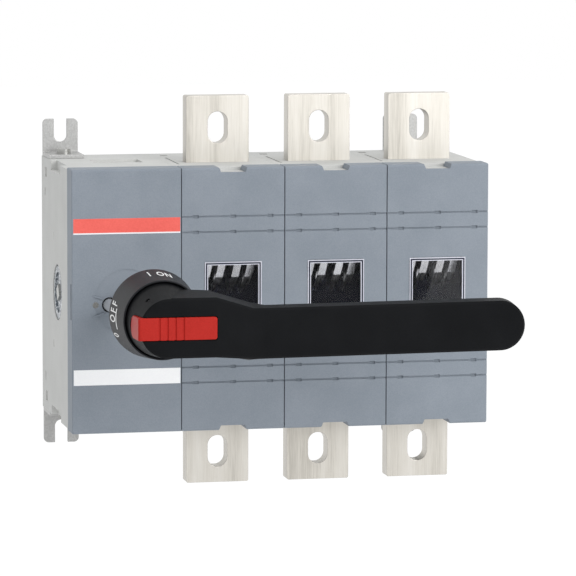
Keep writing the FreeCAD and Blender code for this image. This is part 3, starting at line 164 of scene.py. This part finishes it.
def brushed_metal(name, shades, roughness, squeeze, streak_mm=0.6):
    """Metal brushed or rolled one way: long streaks in shade, gloss and height along the brush."""
    material, tree, shader, place = new_material(name)
    streaks = noise(tree, place, streak_mm, detail=4.0, roughness=0.65, squeeze=squeeze)
    bands = noise(tree, place, BAND_MM, detail=2.0, squeeze=squeeze)
    mixed = add(tree, "ShaderNodeMath", {0: streaks, 2: bands}, operation="MULTIPLY_ADD", i1=0.6)
    gloss = (roughness - 0.07, roughness + 0.1)
    surface(tree, shader, mixed.outputs[0], STREAK_SPAN, shades, streaks, gloss, 0.01)
    shader.inputs["Metallic"].default_value = 1.0
    return material


def spangled_metal(name, shades, roughness, spangle_mm):
    """Metal in small cells, each its own shade, as zinc crystals or pressed grains give it."""
    material, tree, shader, place = new_material(name)
    scale = 1 / (spangle_mm * MM)
    cells = add(tree, "ShaderNodeTexVoronoi", {"Vector": place}, feature="F1", Scale=scale)
    specks = noise(tree, place, SPECK_MM, detail=3.0, roughness=0.7)
    links = {0: specks, 2: cells.outputs["Color"]}
    mixed = add(tree, "ShaderNodeMath", links, operation="MULTIPLY_ADD", i1=0.9)
    gloss = (roughness - 0.08, roughness + 0.1)
    surface(tree, shader, mixed.outputs[0], SPANGLE_SPAN, shades, specks, gloss, 0.02)
    shader.inputs["Metallic"].default_value = 0.9
    return material


def clear_plastic(name):
    """Clear polycarbonate, polished: nearly colourless, with a faint haze from handling."""
    material, tree, shader, place = new_material(name)
    haze = noise(tree, place, 8.0, detail=3.0)
    shades = [(0.3, "#f1f2f6"), (0.7, "#e6e8ef")]
    surface(tree, shader, haze, (0.0, 1.0), shades, haze, (0.03, 0.09), 0.01)
    shader.inputs["Transmission Weight"].default_value = 0.99
    shader.inputs["IOR"].default_value = 1.3
    shader.inputs["Specular IOR Level"].default_value = 0.12
    return material


# Blue-grey textured polycarbonate blend of the covers: even, matt, with a faint sparkle of grain
COVER = moulded_plastic(
    "textured_polycarbonate_blue_grey", [(0.0, "#818992"), (1.0, "#8d949d")], 0.55, 0.55, 0.05
)
# Light warm grey glass-filled polyester of the moulded halves: matt, slightly cloudy
HOUSING = moulded_plastic(
    "moulded_polyester_light_grey", [(0.0, "#c6c6c3"), (1.0, "#d2d2cf")], 0.6, 0.7, 0.05
)
# Dark navy, painted as shade on the inside faces of the same halves, where the covers keep the light
# off; also the dark band in each window's rim
INNER_SHADE_AND_BAND = moulded_plastic(
    "moulded_polyester_inner", [(0.0, "#12142a"), (1.0, "#1d2039")], 0.5, 0.7, 0.05
)
# Black glass-filled polyamide of the lever: a coarse matt grain
HANDLE = moulded_plastic(
    "glass_filled_polyamide_black", [(0.0, "#0d0e10"), (1.0, "#161719")], 0.45, 0.45, 0.06, sheen=0.06
)
# Dark grey polyamide of the dial collar: the same grain, a shade lighter
DIAL = moulded_plastic(
    "moulded_polyamide_dark_grey", [(0.0, "#1e1f22"), (1.0, "#2a2b2e")], 0.42, 0.5, 0.05, sheen=0.12
)
# Signal red acetal of the lock slider, smoother than the lever
RED = moulded_plastic(
    "moulded_acetal_red", [(0.0, "#a8231c"), (1.0, "#b52a23")], 0.35, 0.8, 0.02, sheen=0.12
)
# Coral printed film of the upper strip, with an unprinted white border along its lower edge
RED_FILM = moulded_plastic("printed_film_coral", [(0.0, "#ea6258"), (1.0, "#f26b61")], 0.4, 1.2, 0.01)
# White film of the lower strip: clean and slightly glossy
WHITE_FILM = moulded_plastic("printed_film_white", [(0.0, "#fafafb"), (1.0, "#fefefe")], 0.4, 1.2, 0.01)


def bordered(material, edge, code):
    """Leaves a film unprinted below a height: its own colour above, the film's white below."""
    tree = material.node_tree
    shader = next(node for node in tree.nodes if node.type == "BSDF_PRINCIPLED")
    printed = shader.inputs["Base Color"].links[0].from_socket
    place = next(node for node in tree.nodes if node.type == "TEX_COORD").outputs["Object"]
    height = add(tree, "ShaderNodeSeparateXYZ", {"Vector": place}).outputs["Z"]
    above = add(tree, "ShaderNodeMath", {0: height}, operation="GREATER_THAN", i1=edge)
    links = {0: above.outputs[0], 7: printed}
    mixed = add(tree, "ShaderNodeMix", links, data_type="RGBA", i6=linear(code))
    tree.links.new(mixed.outputs[2], shader.inputs["Base Color"])


BORDER = 0.8 * MM
bordered(RED_FILM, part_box("upper_label")[0][2] + BORDER, "#f4f4f5")
# White marks printed on the dial: opaque, flat ink
INK = moulded_plastic("screen_ink_white", [(0.0, "#eeeeec"), (1.0, "#fcfcfc")], 0.5, 0.6, 0.01)
# Pale grey acetal of the boss round the shaft and of the peg: smooth with soft highlights
BOSS = moulded_plastic("moulded_acetal_grey", [(0.0, "#a4a7ac"), (1.0, "#b4b7bb")], 0.45, 0.6, 0.03)
# Dark moulding of the contact drums behind the windows: matt, almost black
DRUM = moulded_plastic("moulded_polyester_dark", [(0.0, "#13152a"), (1.0, "#1e2138")], 0.55, 0.6, 0.04)
# Tin-plated copper of the terminals, brushed along the bar: warm off-white with fine upright streaks
TIN = brushed_metal(
    "tinned_copper_brushed", [(0.0, "#b2aea6"), (0.4, "#c9c5bd"), (1.0, "#d6d3cd")], 0.36, (1, 1, 0.03)
)
# Silver-plated copper of the knife blades and jaws: whitish, mirror-like along the rolling marks
SILVER = brushed_metal("silvered_copper", [(0.0, "#c8c6c0"), (1.0, "#f4f3ef")], 0.24, (1, 0.05, 0.05))
# Turned and zinc-plated steel of shaft, axle, screws and rods: cool grey with faint streaks
STEEL = brushed_metal("zinc_plated_steel", [(0.0, "#8e8e8c"), (1.0, "#bebebb")], 0.33, (1, 0.2, 1), 0.4)
# Plain steel sheet of the arc plates: dull grey
ARC = brushed_metal("steel_sheet", [(0.0, "#6c6c6a"), (1.0, "#8a8a88")], 0.45, (0.1, 1, 1))
# Hot-dip galvanised sheet of the feet: an even grey with fine specks, drawn 0.9 mm wide to show
GALVANISED = spangled_metal(
    "galvanised_sheet", [(0.0, "#a6a6a5"), (0.5, "#aeaead"), (1.0, "#b9b9b8")], 0.4, 0.9
)
# Knurled steel at the end of the drive drum: bright and dark specks side by side
SINTERED = spangled_metal(
    "sintered_steel_speckled", [(0.0, "#1c232b"), (0.45, "#5d666f"), (1.0, "#d9dde0")], 0.35, 1.3
)
# Clear polycarbonate of the windows; its cut and rounded edges, which gather light, are a painted
# highlight in opaque pale grey
CLEAR = clear_plastic("clear_polycarbonate")
EDGE_HIGHLIGHT = moulded_plastic(
    "clear_polycarbonate_edge", [(0.0, "#c9cbd6"), (1.0, "#e2e3ea")], 0.2, 0.8, 0.01, sheen=0.6
)

BY_SLOT = {
    "cover_plastic": COVER,
    "housing_plastic": HOUSING,
    "clear_window": CLEAR,
    "tinned_copper": TIN,
    "galvanised_steel": GALVANISED,
    "silvered_copper": SILVER,
    "drum_plastic": DRUM,
    "arc_steel": ARC,
    "red_label": RED_FILM,
    "white_label": WHITE_FILM,
    "dial_plastic": DIAL,
    "handle_plastic": HANDLE,
    "red_plastic": RED,
    "boss_plastic": BOSS,
    "machined_steel": STEEL,
    "zinc_steel": STEEL,
}
SLOT_OF = {item["node"]: item["material_slot"] for item in frame["record"]["subparts"]}
BODY_OF = {
    node: body for body, names in frame["record"]["behaviour"]["bodies"].items() for node in names
}


def finish_mesh(item, materials):
    """Gives a mesh its materials in place of those it has."""
    item.data.materials.clear()
    for material in materials:
        item.data.materials.append(material)


for name, item in NODES.items():
    finish_mesh(item, [SINTERED if name == "drive_drum" else BY_SLOT[SLOT_OF[name]]])


def link(name, mesh):
    """A new object in the scene round a mesh, curve, lamp or camera."""
    item = bpy.data.objects.new(name, mesh)
    SCENE.collection.objects.link(item)
    return item


def applied(item):
    """Turns an object with modifiers, a curve or a text into a plain mesh object."""
    bpy.context.view_layer.update()
    graph = bpy.context.evaluated_depsgraph_get()
    mesh = bpy.data.meshes.new_from_object(item.evaluated_get(graph))
    mesh.transform(item.matrix_world)
    name = item.name
    bpy.data.objects.remove(item)
    return link(name, mesh)


def quads(work, first, second):
    """A closed band of four-sided faces between two rings of vertices."""
    for i in range(len(first)):
        j = (i + 1) % len(first)
        work.faces.new((first[i], first[j], second[j], second[i]))


def solid(work, name):
    """Turns the faces of a bmesh outwards and links it as an object."""
    bmesh.ops.recalc_face_normals(work, faces=work.faces)
    mesh = bpy.data.meshes.new(name)
    work.to_mesh(mesh)
    work.free()
    return link(name, mesh)


# Points nearer than this are one, faces flatter than the first angle are joined, and edges
# sharper than the second are rounded
SAME_POINT = 1e-6
FLAT_ANGLE = math.radians(2)
SHARP_ANGLE = math.radians(30)


def softened(node, width_mm, materials, edge=-1, pick=None):
    """The node's own form with its sharp edges rounded, to catch the light as a moulding does. The
    roundings may take a material of their own, and so may the faces that a function picks."""
    name = node + "_finished"
    mesh = NODES[node].data.copy()
    item = link(name, mesh)
    work = bmesh.new()
    work.from_mesh(mesh)
    bmesh.ops.remove_doubles(work, verts=work.verts, dist=SAME_POINT)
    bmesh.ops.dissolve_limit(
        work, angle_limit=FLAT_ANGLE, verts=work.verts, edges=work.edges, delimit={"NORMAL"}
    )
    if pick:
        box = [Vector(corner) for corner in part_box(node)]
        for face in work.faces:
            face.material_index = pick(face.calc_center_median(), *box)
    work.to_mesh(mesh)
    work.free()
    rounding = item.modifiers.new("rounding", "BEVEL")
    rounding.width = width_mm * MM
    rounding.segments = 2
    rounding.limit_method = "ANGLE"
    rounding.angle_limit = SHARP_ANGLE
    rounding.material = edge
    evening = item.modifiers.new("evening", "WEIGHTED_NORMAL")
    evening.weight = 80
    evening.keep_sharp = True
    for polygon in mesh.polygons:
        polygon.use_smooth = True
    item = applied(item)
    finish_mesh(item, materials)
    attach(item, BODY_OF[node])
    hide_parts(node)


# Faces this far inside the moulded halves are inner ones, which take the dark navy painted shade
WALL = 2.9 * MM
# The shallow recess in the mechanism's end walls, which the leftmost module has alone
RECESS_Y = -49.5 * MM
RECESS_HALF = 12 * MM
RECESS_DEPTHS = (0.4 * MM, 1.7 * MM)
RECESS_MARGINS = (20 * MM, 10 * MM)


def housing_faces(centre, low, high):
    """The place of a face's material: 0 outside, 1 inside, which is painted dark as shade, 2 in the
    recess of the mechanism.
    """
    if all(low[i] + WALL < centre[i] < high[i] - WALL for i in (0, 2)):
        return 1
    across = low.x + RECESS_MARGINS[0] < centre.x < high.x - RECESS_MARGINS[1]
    deep = RECESS_DEPTHS[0] < high.z - abs(centre.z) < RECESS_DEPTHS[1]
    leftmost = low.x - CAD_BOX[0][0] < WALL
    return 2 if leftmost and across and deep and abs(centre.y - RECESS_Y) < RECESS_HALF else 0


for node in NODES:
    own = BY_SLOT[SLOT_OF[node]]
    if node.endswith("_cover"):
        softened(node, 0.35, [COVER])
    elif node.endswith("_housing") or node.endswith("_base"):
        # Inside faces of the halves take the dark navy painted shade
        softened(node, 0.3, [HOUSING, INNER_SHADE_AND_BAND, COVER], pick=housing_faces)
    elif node.endswith("_terminal") or node.endswith("_foot"):
        softened(node, 0.3, [own])
    elif node.endswith("_window"):
        # The window's rounded edges take the painted highlight
        softened(node, 0.45, [CLEAR, EDGE_HIGHLIGHT], edge=1)
    elif node in ("handle_lever", "lock_slider", "dial_collar", "shaft_boss", "side_peg"):
        softened(node, 0.5, [own])


# Marks printed on the dial collar: I ON at the top, 0 OFF with a bar at the left

COLLAR_LOW, COLLAR_HIGH = (Vector(corner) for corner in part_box("dial_collar"))
SHAFT_X, SHAFT_Z = ((COLLAR_LOW[i] + COLLAR_HIGH[i]) / 2 for i in (0, 2))
BACK_RADIUS = (COLLAR_HIGH.x - COLLAR_LOW.x) / 2
FRONT_RADIUS = 23.8 * MM
COLLAR_BACK, COLLAR_FRONT = COLLAR_HIGH.y, COLLAR_LOW.y
INK_HEIGHT = 0.12 * MM
# Each letter, its angle from +X towards +Z, and its foot and its top in mm before the rear rim
LETTERS = [
    ("I", 101.0, 18.2, 6.6),
    ("O", 86.3, 19.6, 8.6),
    ("N", 75.6, 20.6, 9.6),
    ("F", 162.6, 15.0, 4.2),
    ("F", 171.8, 14.6, 3.6),
    ("O", 182.6, 13.6, 2.8),
    ("0", 205.6, 12.4, 2.4),
]
# The font's capitals are this high, and one unit of it takes this many degrees
CAPITAL = 0.72
LETTER_SWEEP = 12.5
SAME_LETTER_POINT = 1e-5
# The bar between OFF and 0: its middle and sweep in degrees, its depth and width in mm
BAR_MIDDLE, BAR_SWEEP = 181.6, 28.0
BAR_DEPTH, BAR_WIDTH = 16.0, 1.4
BAR_STEPS = 24


def on_collar(angle, depth, proud):
    """A point on the collar's cone: degrees from +X towards +Z, mm in front of its rear rim."""
    share = depth * MM / (COLLAR_BACK - COLLAR_FRONT)
    radius = BACK_RADIUS + (FRONT_RADIUS - BACK_RADIUS) * share + proud
    turn = math.radians(angle)
    x, z = radius * math.cos(turn), radius * math.sin(turn)
    return Vector((SHAFT_X + x, COLLAR_BACK - depth * MM, SHAFT_Z + z))


def wrapped(work, start, angle_per_unit, foot, height_per_unit):
    """Bends flat marks round the cone: x runs clockwise, y towards the rear rim, z outwards."""
    for vert in work.verts:
        x, y, z = vert.co
        angle, depth = start - x * angle_per_unit, foot - y * height_per_unit
        vert.co = on_collar(angle, depth, INK_HEIGHT * (z + 0.5))


def glyph(letter):
    """A letter as a closed plate, half a unit thick each way, from Blender's own font."""
    curve = bpy.data.curves.new("glyph", "FONT")
    curve.body = letter
    curve.align_x = "CENTER"
    curve.offset = 0.012
    curve.extrude = 0.5
    curve.resolution_u = 6
    flat = applied(link("glyph", curve))
    work = bmesh.new()
    work.from_mesh(flat.data)
    bpy.data.objects.remove(flat)
    bmesh.ops.remove_doubles(work, verts=work.verts, dist=SAME_LETTER_POINT)
    return work


def bar():
    """A plate one unit long, wide and thick, cut into steps along its length."""
    work = bmesh.new()
    bmesh.ops.create_grid(work, x_segments=BAR_STEPS, y_segments=1, size=0.5)
    extruded = bmesh.ops.extrude_face_region(work, geom=work.faces[:])
    for vert in work.verts:
        vert.co.z = -0.5
    for item in extruded["geom"]:
        if isinstance(item, bmesh.types.BMVert):
            item.co.z = 0.5
    return work


def collar_marks():
    """All marks as one mesh of thin plates that follow the collar's cone."""
    parts = []
    for letter, angle, foot, top in LETTERS:
        parts.append(glyph(letter))
        wrapped(parts[-1], angle, LETTER_SWEEP, foot, (foot - top) / CAPITAL)
    parts.append(bar())
    wrapped(parts[-1], BAR_MIDDLE, BAR_SWEEP, BAR_DEPTH, BAR_WIDTH)
    bmesh.ops.recalc_face_normals(parts[-1], faces=parts[-1].faces)
    whole = bmesh.new()
    for work in parts:
        part = bpy.data.meshes.new("part")
        work.to_mesh(part)
        work.free()
        whole.from_mesh(part)
        bpy.data.meshes.remove(part)
    marks = bpy.data.meshes.new("dial_marks")
    whole.to_mesh(marks)
    whole.free()
    item = link("dial_marks", marks)
    finish_mesh(item, [INK])
    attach(item, BODY_OF["dial_collar"])


collar_marks()


# Knurled rim on the end of the drive drum, inside the round hole in the left side


KNURL_TEETH = 36
KNURL_HEIGHT = 0.45 * MM
KNURL_OUTER, KNURL_INNER = 16.6 * MM, 12.8 * MM
KNURL_PROUD = 1.0 * MM


def knurled_rim():
    """A ring round the contact axle's line whose outer face has a tooth every ten degrees."""
    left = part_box("drive_drum")[0][0]
    axle_low, axle_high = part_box("contact_axle")
    centre_y, centre_z = ((axle_low[i] + axle_high[i]) / 2 for i in (1, 2))
    front = left - KNURL_PROUD
    work = bmesh.new()
    rings = []
    corners = (
        (KNURL_INNER, left), (KNURL_INNER, front), (KNURL_OUTER, front), (KNURL_OUTER, left)
    )
    for radius, x in corners:
        height = KNURL_HEIGHT if radius == KNURL_OUTER else 0.0
        ring = []
        for step in range(KNURL_TEETH * 4):
            turn = 2 * math.pi * step / (KNURL_TEETH * 4)
            reach = radius + height * math.cos(turn * KNURL_TEETH)
            y, z = centre_y + reach * math.cos(turn), centre_z + reach * math.sin(turn)
            ring.append(work.verts.new((x, y, z)))
        rings.append(ring)
    for first, second in zip(rings, rings[1:] + rings[:1]):
        quads(work, first, second)
    item = solid(work, "journal_knurl")
    finish_mesh(item, [SINTERED])
    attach(item, BODY_OF["drive_drum"])


knurled_rim()


# Behind the windows: silvered contact jaws that bend back from the first arc plate. Round each
# window: two rims of painted highlight with a dark band between them, on the window's front face


# The jaws' line as (y, z) points from the top down, their section and their lean, in mm
JAW_LINE = [
    (-106.5, 40.0),
    (-107.0, 30.0),
    (-106.6, 23.0),
    (-105.4, 17.5),
    (-103.4, 12.5),
    (-100.6, 8.8),
    (-98.2, 7.2),
]
JAW_WIDTH, JAW_THICKNESS = 4.6, 1.0
JAW_LEAN, JAW_PIVOT = 0.16, 20.0
JAW_OFFSETS = (-13.4, -5.0, 5.0, 13.4)
# Each frame of a window, from the outside in: name, width, depth, rise over the window's front
# face (all in mm) and material
WINDOW_FRAMES = [
    # The two rims are painted highlights, and the band between them is dark
    ("window_outer_rims", 0.6, 0.85, 0.05, EDGE_HIGHLIGHT),
    ("window_bands", 0.9, 0.82, 0.02, INNER_SHADE_AND_BAND),
    ("window_inner_rims", 0.5, 1.45, 0.05, EDGE_HIGHLIGHT),
]
FRAME_INSET = 1.7
CORNERS = ((-1, -1), (1, -1), (1, 1), (-1, 1))


def contact_jaw():
    """One leaning strip of sheet along the jaws' line, centred on X = 0."""
    work = bmesh.new()
    rows = []
    for index, (y, z) in enumerate(JAW_LINE):
        before, after = JAW_LINE[max(index - 1, 0)], JAW_LINE[min(index + 1, len(JAW_LINE) - 1)]
        along = Vector((after[0] - before[0], after[1] - before[1])).normalized()
        across = Vector((-along.y, along.x)) * JAW_THICKNESS / 2
        ring = []
        for side, sign in ((-1, 1), (1, 1), (1, -1), (-1, -1)):
            place = Vector((side * JAW_WIDTH / 2, y + sign * across.x, z + sign * across.y))
            place.x += JAW_LEAN * (place.z - JAW_PIVOT)
            ring.append(work.verts.new(place * MM))
        rows.append(ring)
    for lower, upper in zip(rows, rows[1:]):
        quads(work, lower, upper)
    work.faces.new(rows[0][::-1])
    work.faces.new(rows[-1])
    return solid(work, "contact_jaw")


def window_frame(half_width, half_height, width, front, rear):
    """An upright rectangular frame, centred on X = 0 and Z = 0, in mm."""
    work = bmesh.new()
    rings = []
    for inset, y in ((0, rear), (0, front), (width, front), (width, rear)):
        w, h = half_width - inset, half_height - inset
        rings.append([work.verts.new(Vector((x * w, y, z * h)) * MM) for x, z in CORNERS])
    for first, second in zip(rings, rings[1:] + rings[:1]):
        quads(work, first, second)
    return solid(work, "window_frame")


def copies(name, source, points, material):
    """Geometry Nodes copy a small source piece onto points (in mm), make the copies real and set
    their material. The result rides on the housing."""
    cloud = bpy.data.meshes.new(name)
    cloud.from_pydata([tuple(c * MM for c in point) for point in points], [], [])
    item = link(name, cloud)
    tree = bpy.data.node_groups.new(name + "_tree", "GeometryNodeTree")
    sockets = tree.interface
    sockets.new_socket("Points", in_out="INPUT", socket_type="NodeSocketGeometry")
    kind = sockets.new_socket("Source", in_out="INPUT", socket_type="NodeSocketObject")
    size = sockets.new_socket("Scale", in_out="INPUT", socket_type="NodeSocketFloat")
    sockets.new_socket("Copies", in_out="OUTPUT", socket_type="NodeSocketGeometry")
    entry = add(tree, "NodeGroupInput").outputs
    info = add(tree, "GeometryNodeObjectInfo", {"Object": entry["Source"]}).outputs
    links = {"Points": entry["Points"], "Instance": info["Geometry"], "Scale": entry["Scale"]}
    placed = add(tree, "GeometryNodeInstanceOnPoints", links).outputs
    real = add(tree, "GeometryNodeRealizeInstances", {"Geometry": placed["Instances"]}).outputs
    links = {"Geometry": real["Geometry"]}
    dressed = add(tree, "GeometryNodeSetMaterial", links, Material=material).outputs
    add(tree, "NodeGroupOutput", {"Copies": dressed["Geometry"]})
    modifier = item.modifiers.new("copies", "NODES")
    modifier.node_group = tree
    modifier[kind.identifier] = source
    modifier[size.identifier] = 1.0
    item = applied(item)
    bpy.data.objects.remove(source)
    finish_mesh(item, [material])
    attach(item, "housing")


def window_details():
    """The frames and the jaws of all three windows, placed from the windows' own boxes."""
    boxes = [[Vector(c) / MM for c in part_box(f"pole_{pole}_window")] for pole in (1, 2, 3)]
    middles = [(low.x + high.x) / 2 for low, high in boxes]
    places = [(middle, 0, 0) for middle in middles]
    low, high = boxes[0]
    inset = FRAME_INSET
    for name, width, depth, rise, material in WINDOW_FRAMES:
        half_width, half_height = (high.x - low.x) / 2 - inset, (high.z - low.z) / 2 - inset
        front = low.y - rise
        frame_piece = window_frame(half_width, half_height, width, front, front + depth)
        copies(name, frame_piece, places, material)
        inset += width
    places = [(middle + offset, 0, 0) for middle in middles for offset in JAW_OFFSETS]
    copies("contact_jaws", contact_jaw(), places, SILVER)


window_details()


# Stage: a floor well below, plain soft light and the camera of the photograph


# How much of the floor's own white shows, which leaves the rest to the object's shadow, and how
# bright that white is
FLOOR_GLOW = 0.85
FLOOR_WHITE = 1.08
FLOOR_DROP = 0.30
FLOOR_HALF = 6.0
WORLD_LEVEL = 0.8


def white_to_camera(tree, output, plain, white, share):
    """Camera, mirror and glass rays see white by a share, and other rays see the plain shade."""
    path = add(tree, "ShaderNodeLightPath").outputs
    seen = path["Is Camera Ray"]
    for ray in ("Is Glossy Ray", "Is Transmission Ray"):
        either = add(tree, "ShaderNodeMath", {0: seen, 1: path[ray]}, operation="MAXIMUM")
        seen = either.outputs[0]
    glow = add(tree, "ShaderNodeMath", {0: seen}, operation="MULTIPLY", i1=share).outputs[0]
    mix = add(tree, "ShaderNodeMixShader", {0: glow, 1: plain.outputs[0], 2: white.outputs[0]})
    tree.links.new(mix.outputs[0], output.inputs["Surface"])


def studio():
    """A pale world that looks white."""
    world = bpy.data.worlds.new("studio")
    world.use_nodes = True
    SCENE.world = world
    tree = world.node_tree
    tree.nodes.clear()
    output = add(tree, "ShaderNodeOutputWorld")
    plain = add(tree, "ShaderNodeBackground", Color=linear("#f4f6f8"), Strength=WORLD_LEVEL)
    white = add(tree, "ShaderNodeBackground", Color=linear("#ffffff"), Strength=1.0)
    white_to_camera(tree, output, plain, white, 1.0)


def floor():
    """A wide floor that looks white and takes a soft shadow."""
    mesh = bpy.data.meshes.new("floor")
    points = [(x * FLOOR_HALF, y * FLOOR_HALF, -FLOOR_DROP) for x, y in CORNERS]
    mesh.from_pydata(points, [], [(0, 1, 2, 3)])
    item = link("floor", mesh)
    material = bpy.data.materials.new("pale_floor")
    material.use_nodes = True
    tree = material.node_tree
    tree.nodes.clear()
    output = add(tree, "ShaderNodeOutputMaterial")
    plain = add(tree, "ShaderNodeBsdfDiffuse", Color=linear("#f2f2f2"))
    white = add(tree, "ShaderNodeEmission", Color=linear("#ffffff"), Strength=FLOOR_WHITE)
    white_to_camera(tree, output, plain, white, FLOOR_GLOW)
    finish_mesh(item, [material])


def softbox(name, place, size, watts):
    """A rectangular lamp that points at the middle of the object."""
    lamp = bpy.data.lights.new(name, "AREA")
    lamp.shape = "RECTANGLE"
    lamp.size, lamp.size_y = size
    lamp.energy = watts
    item = link(name, lamp)
    item.location = place
    item.rotation_euler = (-Vector(place)).to_track_quat("-Z", "Y").to_euler()


studio()
floor()
softbox("key_softbox", (1.05, -2.0, 0.8), (1.2, 1.2), 24)
softbox("top_softbox", (0.2, -0.2, 1.8), (1.6, 1.0), 5)

# The camera of the photograph: its axes come from the yaw, pitch and roll at the top
camera_data = bpy.data.cameras.new("camera")
camera_data.sensor_width = 36.0
camera_data.lens = FOCAL_PIXELS / IMAGE * camera_data.sensor_width
camera = link("camera", camera_data)
forward = Vector(
    (math.sin(YAW) * math.cos(PITCH), math.cos(YAW) * math.cos(PITCH), -math.sin(PITCH))
)
level = Vector((math.cos(YAW), -math.sin(YAW), 0))
upright = level.cross(forward)
right = level * math.cos(ROLL) + upright * math.sin(ROLL)
up = -level * math.sin(ROLL) + upright * math.cos(ROLL)
turned = Matrix((right, up, -forward)).transposed().to_4x4()
camera.matrix_world = Matrix.Translation(CAMERA_PLACE) @ turned
SCENE.camera = camera

SCENE.view_settings.view_transform = "Standard"
